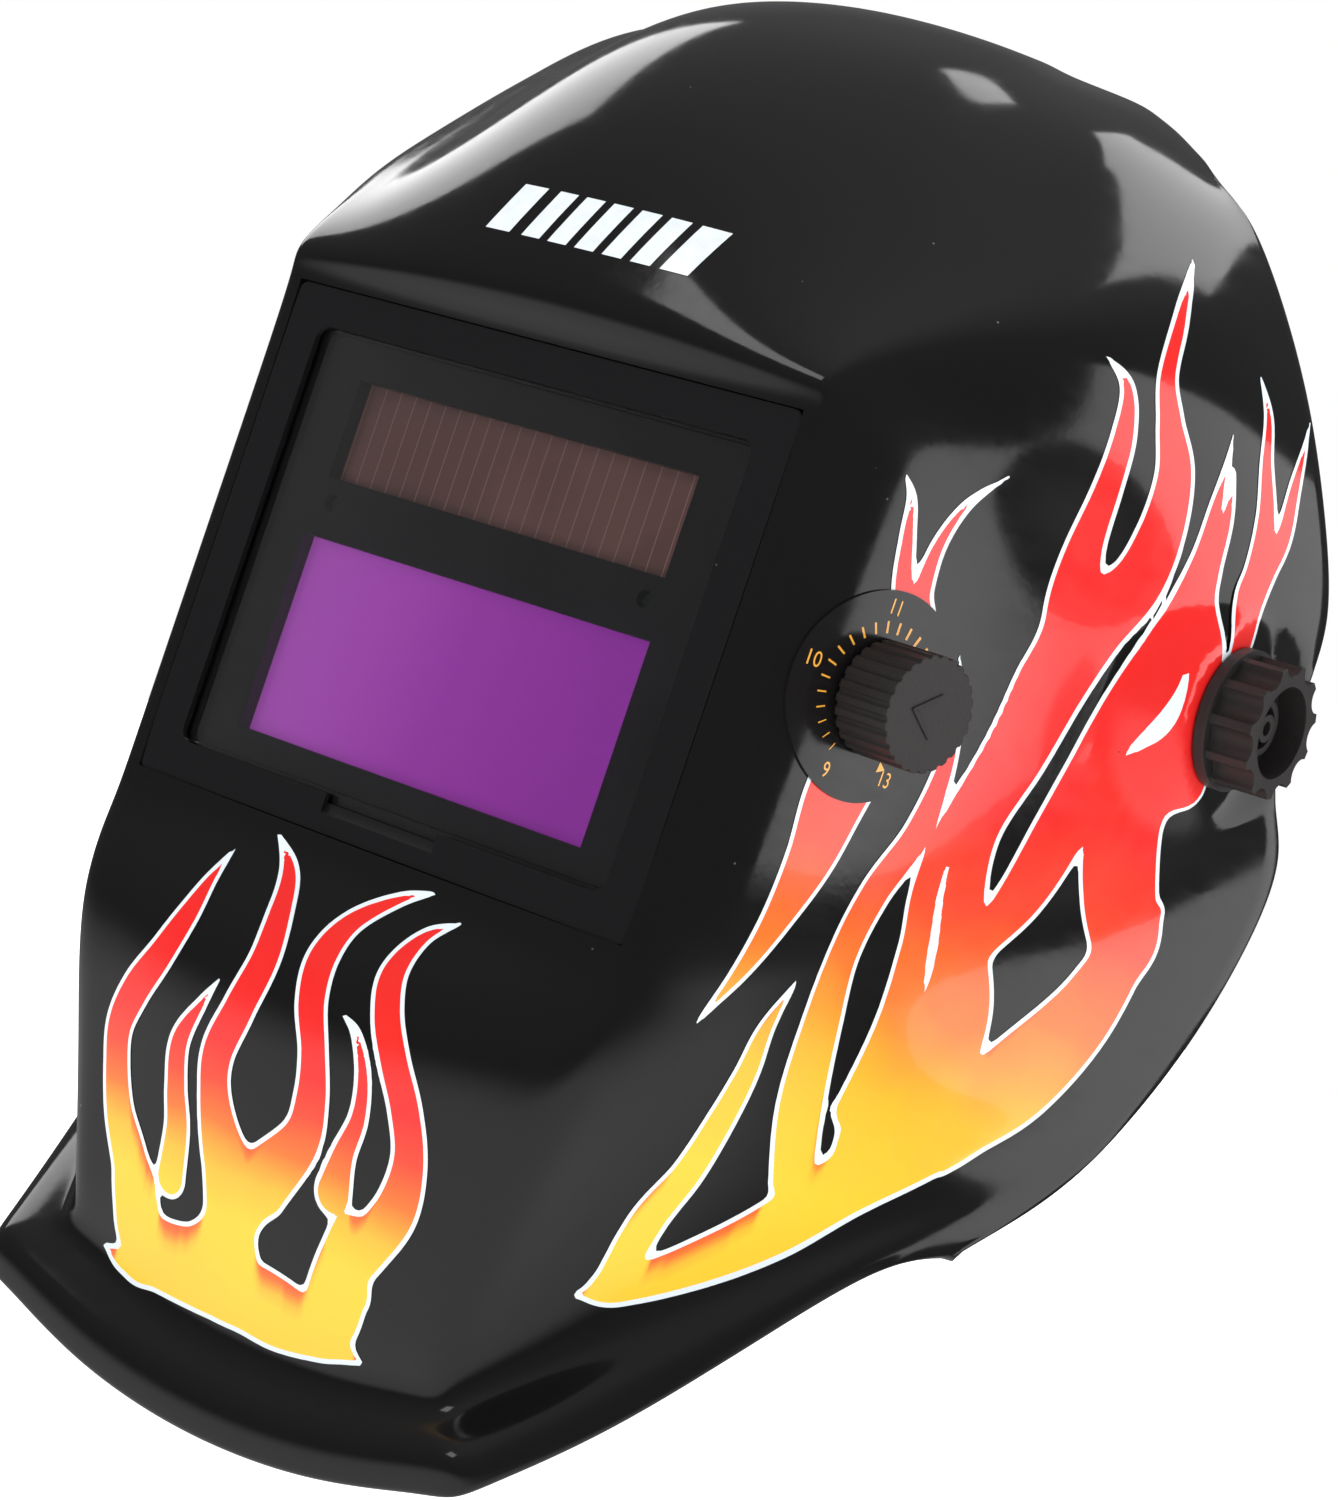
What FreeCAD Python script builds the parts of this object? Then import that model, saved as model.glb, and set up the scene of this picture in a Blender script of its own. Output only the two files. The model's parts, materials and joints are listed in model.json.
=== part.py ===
import FreeCAD, Part
import math
import os

from FreeCAD import Vector

# Auto-darkening welding helmet, worn upright.
# X is the wearer's left, -Y is forwards, +Z is up, all in millimetres.
# The origin is the middle of the tilt-pivot axis, between the temples.

os.makedirs("parts", exist_ok=True)

# ---------------------------------------------------------------- driving dimensions
SHELL_HALF_WIDTH = 119.5      # widest point of the cheek flaps
SHELL_DEPTH = 146.0           # window face to the tip of the cheek flap
CROWN_RISE = 93.0             # brow to the top rim
CHIN_DROP = 113.0             # window sill to the bottom of the chin lip
SHELL_WALL = 2.4
PIVOT_BACK = 110.0            # window face to the tilt pivot
PIVOT_RISE = 28.0             # window centre to the tilt pivot
FACE_HALF_WIDTH = 69.0        # half width of the flat face around the window
FACE_HALF_HEIGHT = 62.0       # half height of that face

BEZEL_WIDTH = 130.7
BEZEL_HEIGHT = 106.7
BEZEL_THICK = 3.2
LENS_VIEW_WIDTH = 113.8       # opening of the bezel
LENS_VIEW_HEIGHT = 90.8
LENS_LAP = 1.6                # cover lens beyond the bezel's opening, each side
LENS_THICK = 1.0
CARTRIDGE_WIDTH = 116.0
CARTRIDGE_HEIGHT = 96.0
CARTRIDGE_DEPTH = 13.4
CASE_WALL = 1.8
FILTER_WIDTH = 92.0           # clear viewing area of the filter
FILTER_HEIGHT = 42.0
FILTER_DROP = 17.7            # filter centre below the window centre
SOLAR_WIDTH = 89.0
SOLAR_HEIGHT = 21.0
SOLAR_RISE = 26.3
SENSOR_SPREAD = 41.5          # arc sensor holes, each side of the middle
SENSOR_RISE = 10.8
TRIM_KNOB_SPREAD = 38.0       # sensitivity and delay knobs, each side of the middle
TRIM_KNOB_DIAMETER = 11.0
TRIM_STEM_DIAMETER = 3.0
RETAINER_THICK = 2.4
RETAINER_SCREW_DIAMETER = 2.3
MAGNIFIER_WIDTH = 108.0       # standard 2 by 4 1/4 inch magnifying lens
MAGNIFIER_HEIGHT = 51.0

DIAL_BACK = 28.5               # window face to the middle of the shade dial
DIAL_RISE = 7.0               # window centre to the shade dial
DIAL_DIAMETER = 42.0
DIAL_THICK = 0.6
SHADE_KNOB_DIAMETER = 23.0
SHADE_KNOB_HEIGHT = 14.0
SHAFT_DIAMETER = 6.0
BUSH_DIAMETER = 7.0           # threaded bush of the potentiometer
CABLE_DIAMETER = 2.6

PIVOT_DIAMETER = 8.0
PIVOT_BOSS_DIAMETER = 32.0
TENSION_KNOB_DIAMETER = 28.0
TENSION_COLLAR_DIAMETER = 30.0
TENSION_KNOB_HEIGHT = 12.0
WASHER_THICK = 1.5
FLANGE_THICK = 2.4            # shell flange that the bezel and the cartridge bear on
COVER_THICK = 6.0             # ratchet cover
CLAMP_WASHER_THICK = 0.8
INSERT_START = 0.8            # tension knob's base to its hexagonal insert
INSERT_THICK = 3.6
KNOB_FLOOR = 5.2              # tension knob's base to the floor of its hollow face
CROWN_CENTRE_Z = 10.0         # where the crown arch leaves the upright feet
CROWN_RIVET_Z = 8.0
LEVER_THICK = 1.6

BAND_HALF_WIDTH = 72.0        # inside of the headband
BAND_FRONT = 75.0             # front half ellipse, along the head
BAND_SIDE = 50.0              # straight side
BAND_REAR = 60.0              # rear corner depth
BAND_REACH = 50.0             # pivot to the inside of the forehead
BAND_HEIGHT = 26.0
BAND_THICK = 2.0
BAND_TILT = 12.0              # degrees, rear down
PAD_THICK = 6.0
STRAP_HEIGHT = 17.0
STRAP_THICK = 1.6
STRAP_TRAVEL = 12.0
PEG_DIAMETER = 5.0
RIVET_DIAMETER = 5.0
CROWN_STRAP_WIDTH = 18.0
CROWN_STRAP_THICK = 1.8
CROWN_STRAP_RISE = 78.0
BRACKET_THICK = 3.0
BRACKET_HEIGHT = 20.0
RATCHET_KNOB_DIAMETER = 38.0
RATCHET_KNOB_DEPTH = 15.0
PINION_DIAMETER = 8.0
RATCHET_STEM_DIAMETER = 5.0
HOUSING_WIDTH = 72.0
HOUSING_HEIGHT = 34.0

# ---------------------------------------------------------------- clearances
RUNNING = 0.06                # shaft in a turning or turned hole, on the radius
FACE_GAP = 0.15               # between faces that turn on each other
SNAP_GAP = 0.2                # around plates that drop into a recess
SLOT_GAP = 0.3                # around pieces that slide
HALF_FIT = 0.05               # between stacked pieces inside the cartridge

WINDOW_Y = -PIVOT_BACK
WINDOW_Z = -PIVOT_RISE

nodes = {}


def keep(name, shape):
    """Remember a finished sub-part under its node name."""
    nodes[name] = shape


# ---------------------------------------------------------------- general helpers
def box(width, depth, height, centre_x, front_y, centre_z):
    """Block centred on X and Z, running back from front_y."""
    return Part.makeBox(width, depth, height, Vector(centre_x - width / 2, front_y, centre_z - height / 2))


def rounded_plate(width, height, depth, radius, centre_x, front_y, centre_z):
    """Plate in the XZ plane with rounded corners."""
    plate = box(width, depth, height, centre_x, front_y, centre_z)
    corners = [e for e in plate.Edges if abs(e.tangentAt(e.FirstParameter).y) > 0.99]
    return plate.makeFillet(radius, corners)


def rod(diameter, length, start, direction):
    return Part.makeCylinder(diameter / 2, length, start, direction)


def ring(outer, inner, length, start, direction):
    return rod(outer, length, start, direction).cut(rod(inner, length, start, direction))


def ribbed_rod(diameter, length, start, direction, ribs, groove):
    """Knob body with a round groove between each pair of grip ribs."""
    body = rod(diameter, length, Vector(0, 0, 0), Vector(0, 0, 1))
    cutters = []
    for index in range(ribs):
        angle = 2 * math.pi * index / ribs
        centre = Vector(math.cos(angle), math.sin(angle), 0) * (diameter / 2 + groove * 0.35)
        cutters.append(Part.makeCylinder(groove, length, centre))
    body = body.cut(Part.makeCompound(cutters))
    return along(body, start, direction)


def along(shape, start, direction):
    """Turn a shape made on +Z to lie along direction, and move it to start."""
    turned = shape.copy()
    turned.Placement = FreeCAD.Placement(start, FreeCAD.Rotation(Vector(0, 0, 1), direction))
    return turned


def mirrored(shape):
    """The wearer's right-hand copy of a left-hand piece."""
    return shape.mirror(Vector(0, 0, 0), Vector(1, 0, 0))


def group(shapes):
    return Part.makeCompound(shapes)


# ---------------------------------------------------------------- shell surface
# Stations run from the chin lip up over the brow to the top rim. Each one crosses the
# shell from the middle of the front to the rear edge. Points are measured from the
# centre of the window: across, back and up. The softness is how far the turn from the
# front to the side spreads. In order: lip (bottom, edge, root), chin (foot, middle, bulge),
# window sill, window (foot, middle, head), brow (groove, edge), forehead, crown (three), top rim.
STATIONS = [
    # softness, front, corner, cheek, side, rear, rim
    (8, (0, 3, -175), (66, 4, -162.5), (79, 29, -143), (90, 53, -119), (99, 74, -98), (106, 88, -93)),
    (6, (0, 1, -166), (65, 2, -154.5), (78, 28, -136), (91, 54, -111), (101, 77, -91), (110, 104, -82)),
    (6, (0, 11, -157), (53, 12, -150), (71, 34, -127), (88, 60, -104), (101, 84, -84), (113, 115, -71)),
    (9, (0, 5, -146), (51, 6, -142), (69, 34, -117), (88, 62, -93), (103, 90, -74), (114.5, 124, -60)),
    (11, (0, -6, -112), (60, 0, -110), (72, 33, -90), (90, 63, -70), (106, 98, -54), (117, 136, -40)),
    (12, (0, -13, -82), (68, -6, -82), (77, 26, -66.5), (87, 60, -51), (106, 101, -33), (119, 144, -15)),
    (6, (0, -2, -62), (69, -1, -61), (80, 22, -56), (85.5, 58, -40), (106, 99, -18), (119.5, 146, 6)),
    (3, (0, 0, -54), (69, 0, -54), (81.5, 18, -49), (85, 56, -31), (108, 97, -5), (118, 131, 16)),
    (3, (0, 0, 0), (69, 0, 0), (82, 18, 1.5), (85.5, 56, 5), (111, 97, 12), (118, 132, 32)),
    (3, (0, 0, 50), (69, 0, 50), (82, 18, 46.5), (89, 56, 40), (112, 97, 38), (118, 134, 50)),
    (3, (0, -1, 57), (69, -1, 57), (81, 19, 54), (93, 56, 52), (112, 94, 54), (117.5, 130, 60)),
    (3, (0, -6, 61), (68.5, -2, 60.5), (79, 20, 67), (98, 52, 71), (110, 88, 74), (115.5, 122, 73)),
    (6, (0, 0, 82), (70, 7, 70), (81, 22, 79), (96, 48, 89), (106, 82, 94), (110, 111, 93)),
    (11, (0, 11, 109), (72, 27, 87), (82, 38, 93), (92, 58, 103), (98, 81, 109), (102, 102, 110)),
    (20, (0, 33, 136), (70, 50, 113), (80, 62, 117), (86, 76, 121), (90, 88, 123), (93, 98, 123)),
    (24, (0, 66, 151), (64, 72, 138), (73, 82, 135), (79, 90, 133), (83, 94, 131), (86.5, 96, 129.5)),
    (26, (0, 102, 155), (52, 102, 148), (64, 101, 143), (70, 100, 139.5), (75, 97.5, 137), (79.5, 95, 133.5)),
]
STATION_FACE = (69.0, 62.0)              # half width and half height of the face in the table
STATION_REACH = (119.5, 146.0)           # half width and depth in the table
STATION_RISE = 93.0
STATION_DROP = 113.0


def stretched(value, inner, outer, new_inner, new_outer):
    """Keep the part up to inner in step with new_inner, and the rest with new_outer."""
    size = abs(value)
    if size <= inner:
        size = size * new_inner / inner
    else:
        size = new_inner + (size - inner) * (new_outer - new_inner) / (outer - inner)
    return math.copysign(size, value)


def shell_point(across, back, up):
    """A point of the station table, at this shell's own size, in the helmet's frame."""
    x = stretched(across, STATION_FACE[0], STATION_REACH[0], FACE_HALF_WIDTH, SHELL_HALF_WIDTH)
    y = back * SHELL_DEPTH / STATION_REACH[1] if back > 0 else back
    reach, new_reach = (STATION_RISE, CROWN_RISE) if up > 0 else (STATION_DROP, CHIN_DROP)
    face = STATION_FACE[1]
    z = stretched(up, face, face + reach, FACE_HALF_HEIGHT, FACE_HALF_HEIGHT + new_reach)
    return Vector(x, WINDOW_Y + y, WINDOW_Z + z)


def station_row(station):
    """Control points of one station, from the middle to the rim."""
    softness = station[0]
    front, corner, cheek, side, rear, rim = [shell_point(*point) for point in station[1:]]
    inward = (front - corner) * min(softness / (front - corner).Length, 0.4)
    rearward = (cheek - corner) * min(softness / (cheek - corner).Length, 0.5)
    bow = Vector(corner.x / 2, front.y * 0.75 + corner.y * 0.25, front.z * 0.75 + corner.z * 0.25)
    return [front, bow, corner + inward, corner, corner + rearward, cheek, side, rear, rim]


def extended(row, before=None):
    """Add one control point beyond each end, so that the surface ends on the row's ends."""
    first = before if before else row[0] * 2 - row[1]
    return [first] + row + [row[-1] * 2 - row[-2]]


def offset_net(net, distance):
    """Move each control point along the surface normal there; positive is outwards."""
    last_row = len(net) - 1
    moved = []
    for i, row in enumerate(net):
        below = net[i - 1] if i > 0 else [a * 2 - b for a, b in zip(net[0], net[1])]
        above = net[i + 1] if i < last_row else [a * 2 - b for a, b in zip(net[-1], net[-2])]
        wide = extended(row, Vector(-row[1].x, row[1].y, row[1].z))
        new_row = []
        for j, point in enumerate(row):
            upward = above[j] - below[j]
            backward = wide[j + 2] - wide[j]
            normal = backward.cross(upward).normalize()
            new_row.append(point + normal * distance)
        moved.append(new_row)
    return moved


def net_surface(net):
    """Smooth surface through both halves of a net of left-hand control points."""
    rows = [[Vector(-p.x, p.y, p.z) for p in reversed(row[1:])] + row for row in net]
    rows = [extended(row) for row in rows]
    first = [a * 2 - b for a, b in zip(rows[0], rows[1])]
    last = [a * 2 - b for a, b in zip(rows[-1], rows[-2])]
    poles = [first] + rows + [last]
    count_u, count_v = len(poles), len(poles[0])
    knots_u = [float(k) for k in range(count_u + 4)]
    knots_v = [float(k) for k in range(count_v + 4)]
    surface = Part.BSplineSurface()
    surface.buildFromPolesMultsKnots(poles, [1] * len(knots_u), [1] * len(knots_v), knots_u, knots_v,
                                     False, False, 3, 3)
    surface.segment(3.0, float(count_u), 3.0, float(count_v))
    return surface


def skin(outer_net, inner_net):
    """Closed solid between two nets."""
    faces = []
    borders = []
    for net in (outer_net, inner_net):
        surface = net_surface(net)
        faces.append(surface.toShape())
        u0, u1, v0, v1 = surface.bounds()
        borders.append([surface.uIso(u0), surface.vIso(v1), surface.uIso(u1), surface.vIso(v0)])
    for outer_edge, inner_edge in zip(*borders):
        faces.append(Part.makeRuledSurface(outer_edge.toShape(), inner_edge.toShape()))
    shell = Part.makeShell(faces)
    shell.sewShape()
    solid = Part.makeSolid(shell)
    if solid.Volume < 0:
        solid.reverse()
    return solid


OUTER_NET = [station_row(station) for station in STATIONS]
INNER_NET = offset_net(OUTER_NET, -SHELL_WALL)
OUTER_SURFACE = net_surface(OUTER_NET)


def wall_outside(y, z):
    """X of the shell's outer surface on the wearer's left, level with a point (y, z)."""
    probe = Part.makeLine(Vector(FACE_HALF_WIDTH * 0.5, y, z), Vector(SHELL_HALF_WIDTH * 1.5, y, z))
    touching = OUTER_SURFACE.toShape().distToShape(probe)
    return touching[1][0][0].x


def wall_normal(point):
    u, v = OUTER_SURFACE.parameter(point)
    normal = OUTER_SURFACE.normal(u, v)
    return normal if normal.x > 0 else normal * -1


PIVOT_WALL = wall_outside(0, 0)
PIVOT_OUT = PIVOT_WALL + 1.0               # outer face of the pivot boss
PIVOT_IN = PIVOT_WALL - SHELL_WALL - 4.2   # inner face of the pivot boss
AXIS = Vector(1, 0, 0)

DIAL_Y = WINDOW_Y + DIAL_BACK
DIAL_Z = WINDOW_Z + DIAL_RISE
DIAL_POINT = Vector(wall_outside(DIAL_Y, DIAL_Z), DIAL_Y, DIAL_Z)
DIAL_OUT = wall_normal(DIAL_POINT)

# Depths behind the window face of the pieces stacked in the window.
FLANGE_FRONT = BEZEL_THICK + 0.1
CARTRIDGE_FRONT = FLANGE_FRONT + FLANGE_THICK + 0.1
CARTRIDGE_BACK = CARTRIDGE_FRONT + CARTRIDGE_DEPTH
CASE_SPLIT = CARTRIDGE_FRONT + 7.0
RETAINER_FRONT = CARTRIDGE_BACK + 0.1
SCREW_X = CARTRIDGE_WIDTH / 2 + 4.2
SCREW_Z = CARTRIDGE_HEIGHT / 2 - 16.0
SCREW_SPOTS = [(sx * SCREW_X, sz * SCREW_Z) for sx in (-1, 1) for sz in (-1, 1)]
BACKWARDS = Vector(0, 1, 0)


def at_depth(depth):
    return WINDOW_Y + depth


def window_point(x, depth, z):
    return Vector(x, at_depth(depth), WINDOW_Z + z)


# ---------------------------------------------------------------- shell and window
def make_shell():
    body = skin(OUTER_NET, INNER_NET)
    pocket_w = BEZEL_WIDTH + 2 * SNAP_GAP
    pocket_h = BEZEL_HEIGHT + 2 * SNAP_GAP
    flange_depth = FLANGE_FRONT + FLANGE_THICK - 0.6
    flange = box(pocket_w + 4.0, flange_depth, pocket_h + 4.0, 0, at_depth(0.6), WINDOW_Z)
    body = body.fuse(flange)
    for x, z in SCREW_SPOTS:
        depth = RETAINER_FRONT - 0.1 - FLANGE_FRONT
        body = body.fuse(rod(7.0, depth, window_point(x, FLANGE_FRONT, z), BACKWARDS))
    for side in (1, -1):
        seat = rod(PIVOT_BOSS_DIAMETER, 20.0, Vector(side * PIVOT_OUT, 0, 0), AXIS * side)
        boss = rod(PIVOT_BOSS_DIAMETER, PIVOT_OUT - PIVOT_IN, Vector(side * PIVOT_IN, 0, 0), AXIS * side)
        facing = rod(PIVOT_BOSS_DIAMETER, 6.0, Vector(side * (PIVOT_IN - 6.0), 0, 0), AXIS * side)
        body = body.cut(seat).cut(facing).fuse(boss)
    body = body.cut(rounded_plate(pocket_w, pocket_h, FLANGE_FRONT + 5.0, 2.2, 0, at_depth(-5.0), WINDOW_Z))
    opening = rounded_plate(LENS_VIEW_WIDTH - 1.0, LENS_VIEW_HEIGHT - 1.0, 20.0, 3.0, 0,
                            at_depth(0), WINDOW_Z)
    body = body.cut(opening)
    for x, z in SCREW_SPOTS:
        pilot = window_point(x, RETAINER_FRONT - 9.1, z)
        body = body.cut(rod(RETAINER_SCREW_DIAMETER + 0.1, 9.0, pilot, BACKWARDS))
    right_outside = Vector(-1.5 * SHELL_HALF_WIDTH, 0, 0)
    hole = rod(PIVOT_DIAMETER + 2 * RUNNING, 3 * SHELL_HALF_WIDTH, right_outside, AXIS)
    body = body.cut(hole)
    bush = rod(BUSH_DIAMETER + 0.3, 20.0, DIAL_POINT - DIAL_OUT * 10.0, DIAL_OUT)
    body = body.cut(bush)
    return body.removeSplitter()


def make_window():
    """Bezel, cover lens and the auto-darkening cartridge, from front to back."""
    view_w, view_h = LENS_VIEW_WIDTH, LENS_VIEW_HEIGHT
    lens_w, lens_h = view_w + 2 * LENS_LAP, view_h + 2 * LENS_LAP
    lens_front = 1.2
    bezel = rounded_plate(BEZEL_WIDTH, BEZEL_HEIGHT, BEZEL_THICK, 2.0, 0, at_depth(0), WINDOW_Z)
    bezel = bezel.cut(rounded_plate(view_w, view_h, 10.0, 3.0, 0, at_depth(-1), WINDOW_Z))
    seat_w, seat_h = lens_w + 2 * SNAP_GAP, lens_h + 2 * SNAP_GAP
    bezel = bezel.cut(rounded_plate(seat_w, seat_h, 10.0, 3.0, 0, at_depth(lens_front - HALF_FIT), WINDOW_Z))
    notch_z = WINDOW_Z - view_h / 2
    finger = Part.makeCylinder(4.0, 30.0, Vector(-15, at_depth(-2.6), notch_z - 1.0), AXIS)
    bezel = bezel.cut(finger)
    keep("bezel_frame", bezel)
    lens = rounded_plate(lens_w, lens_h, LENS_THICK, 3.0, 0, at_depth(lens_front), WINDOW_Z)
    keep("cover_lens", lens)

    nose_w, nose_h = view_w - 1.6, view_h - 1.6
    nose_front = lens_front + LENS_THICK + 1.4
    case = box(CARTRIDGE_WIDTH, CASE_SPLIT - CARTRIDGE_FRONT, CARTRIDGE_HEIGHT, 0,
               at_depth(CARTRIDGE_FRONT), WINDOW_Z)
    nose = rounded_plate(nose_w, nose_h, CARTRIDGE_FRONT - nose_front, 2.5, 0, at_depth(nose_front), WINDOW_Z)
    case = case.fuse(nose).removeSplitter()
    wall = CASE_WALL
    hollow = box(CARTRIDGE_WIDTH - 2 * wall, 20.0, CARTRIDGE_HEIGHT - 2 * wall, 0,
                 at_depth(nose_front + 2 * wall), WINDOW_Z)
    case = case.cut(hollow)
    filter_z = WINDOW_Z - FILTER_DROP
    filter_hole = box(FILTER_WIDTH, 20.0, FILTER_HEIGHT, 0, at_depth(0), filter_z)
    solar_z = WINDOW_Z + SOLAR_RISE
    solar_hole = box(SOLAR_WIDTH, 20.0, SOLAR_HEIGHT, 0, at_depth(0), solar_z)
    case = case.cut(filter_hole).cut(solar_hole)
    for side in (-1, 1):
        case = case.cut(rod(3.6, 20.0, window_point(side * SENSOR_SPREAD, 0, SENSOR_RISE), BACKWARDS))
    keep("cartridge_front_case", case)

    inside = nose_front + 2 * wall + HALF_FIT
    pane_w, pane_h = FILTER_WIDTH + 4.0, FILTER_HEIGHT + 3.0
    stack = [("uv_ir_filter", 1.8), ("lcd_cell_front", 1.4), ("lcd_cell_rear", 1.4)]
    depth = inside
    for name, thick in stack:
        keep(name, box(pane_w, thick, pane_h, 0, at_depth(depth), filter_z))
        depth += thick + HALF_FIT
    solar = box(SOLAR_WIDTH + 3.0, 1.6, SOLAR_HEIGHT + 3.0, 0, at_depth(inside), solar_z)
    keep("solar_panel", solar)
    sensors = []
    for side in (-1, 1):
        start = window_point(side * SENSOR_SPREAD, inside - wall, SENSOR_RISE)
        sensors.append(rod(3.0, wall + 1.6, start, BACKWARDS))
    keep("arc_sensors", group(sensors))

    board_front = inside + 1.6 + HALF_FIT
    board_h = CARTRIDGE_HEIGHT / 2 - wall - 1.0 - (FILTER_HEIGHT / 2 - FILTER_DROP + 2.0)
    board_z = CARTRIDGE_HEIGHT / 2 - wall - 1.0 - board_h / 2
    board_w = CARTRIDGE_WIDTH - 2 * wall - 1.0
    keep("circuit_board", box(board_w, 1.2, board_h, 0, at_depth(board_front), WINDOW_Z + board_z))

    cell_front = board_front + 1.2 + HALF_FIT
    cell_z = WINDOW_Z + board_z + 2.0
    cells = [rod(24.0, 3.2, Vector(side * 13.5, at_depth(cell_front), cell_z), BACKWARDS) for side in (-1, 1)]
    keep("battery_cells", group(cells))

    rear = box(CARTRIDGE_WIDTH, CARTRIDGE_BACK - CASE_SPLIT, CARTRIDGE_HEIGHT, 0,
               at_depth(CASE_SPLIT), WINDOW_Z)
    rear = rear.cut(box(CARTRIDGE_WIDTH - 2 * wall, CARTRIDGE_BACK - CASE_SPLIT - wall,
                        CARTRIDGE_HEIGHT - 2 * wall, 0, at_depth(CASE_SPLIT), WINDOW_Z))
    rear = rear.cut(box(FILTER_WIDTH, 20.0, FILTER_HEIGHT, 0, at_depth(CASE_SPLIT), filter_z))
    trim_points = [(name, Vector(side * TRIM_KNOB_SPREAD, at_depth(CARTRIDGE_BACK), WINDOW_Z + SOLAR_RISE))
                   for name, side in (("sensitivity", -1), ("delay", 1))]
    for name, point in trim_points:
        stem = TRIM_STEM_DIAMETER
        trimmer_back = 5.2
        start = point - BACKWARDS * trimmer_back
        rear = rear.cut(rod(stem + 2 * RUNNING, 10.0, start, BACKWARDS))
        front = at_depth(cell_front)
        trimmer = box(9.0, trimmer_back_y(point, wall) - front, 9.0, point.x, front, point.z)
        trimmer = trimmer.cut(rod(stem + 2 * RUNNING, 20.0, Vector(point.x, front + 1.0, point.z), BACKWARDS))
        keep(name + "_trimmer", trimmer)
        shaft_start = Vector(point.x, front + 1.3, point.z)
        knob = rod(stem, point.y + 1.0 - shaft_start.y, shaft_start, BACKWARDS)
        grip = ribbed_rod(TRIM_KNOB_DIAMETER, 5.0, point + BACKWARDS * FACE_GAP, BACKWARDS, 12, 0.9)
        grip = grip.cut(box(1.4, 1.2, TRIM_KNOB_DIAMETER, point.x, point.y + FACE_GAP + 4.0, point.z))
        keep(name + "_knob", knob.fuse(grip).removeSplitter())
    keep("cartridge_rear_case", rear)
    return filter_z


def trimmer_back_y(point, wall):
    return point.y - wall - HALF_FIT


def make_retainer(filter_z):
    """Inner cover lens and the frame that holds the cartridge against the shell."""
    front = at_depth(RETAINER_FRONT)
    wide = CARTRIDGE_WIDTH + 16.0
    high = CARTRIDGE_HEIGHT + 4.0
    frame = rounded_plate(wide, high, RETAINER_THICK, 4.0, 0, front, WINDOW_Z)
    inner_w, inner_h = FILTER_WIDTH + 12.0, FILTER_HEIGHT + 8.0
    frame = frame.cut(box(inner_w - 8.0, 20.0, inner_h - 6.0, 0, front, filter_z))
    frame = frame.cut(box(inner_w + 2 * SNAP_GAP, 1.3, inner_h + 2 * SNAP_GAP, 0, front, filter_z))
    window_h = 20.0
    frame = frame.cut(box(inner_w - 8.0, 20.0, window_h, 0, front, WINDOW_Z + SOLAR_RISE))
    for x, z in SCREW_SPOTS:
        frame = frame.cut(rod(3.2, 10.0, window_point(x, RETAINER_FRONT, z), BACKWARDS))
    rail_front = RETAINER_FRONT + RETAINER_THICK
    for side in (-1, 1):
        x = side * (MAGNIFIER_WIDTH / 2 + 1.2)
        rail = box(2.4, 4.0, MAGNIFIER_HEIGHT, x, at_depth(rail_front), filter_z)
        lip = box(4.4, 1.2, MAGNIFIER_HEIGHT, x - side * 1.0, at_depth(rail_front + 2.8), filter_z)
        frame = frame.fuse(rail).fuse(lip)
    shelf_z = filter_z - MAGNIFIER_HEIGHT / 2 - 0.8
    shelf = box(MAGNIFIER_WIDTH + 4.8, 4.0, 1.6, 0, at_depth(rail_front), shelf_z)
    frame = frame.fuse(shelf).removeSplitter()
    keep("retainer_frame", frame)
    keep("inner_cover_lens", box(inner_w, 1.0, inner_h, 0, front + 0.15, filter_z))
    screws = []
    for x, z in SCREW_SPOTS:
        head = at_depth(RETAINER_FRONT + RETAINER_THICK)
        length = RETAINER_THICK + 7.0
        shank = rod(RETAINER_SCREW_DIAMETER, length, Vector(x, head - length, WINDOW_Z + z), BACKWARDS)
        cap = rod(5.2, 1.6, Vector(x, head, WINDOW_Z + z), BACKWARDS)
        slot = rod(2.2, 1.0, Vector(x, head + 0.8, WINDOW_Z + z), BACKWARDS)
        screws.append(shank.fuse(cap).cut(slot))
    keep("retainer_screws", group(screws))


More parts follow.
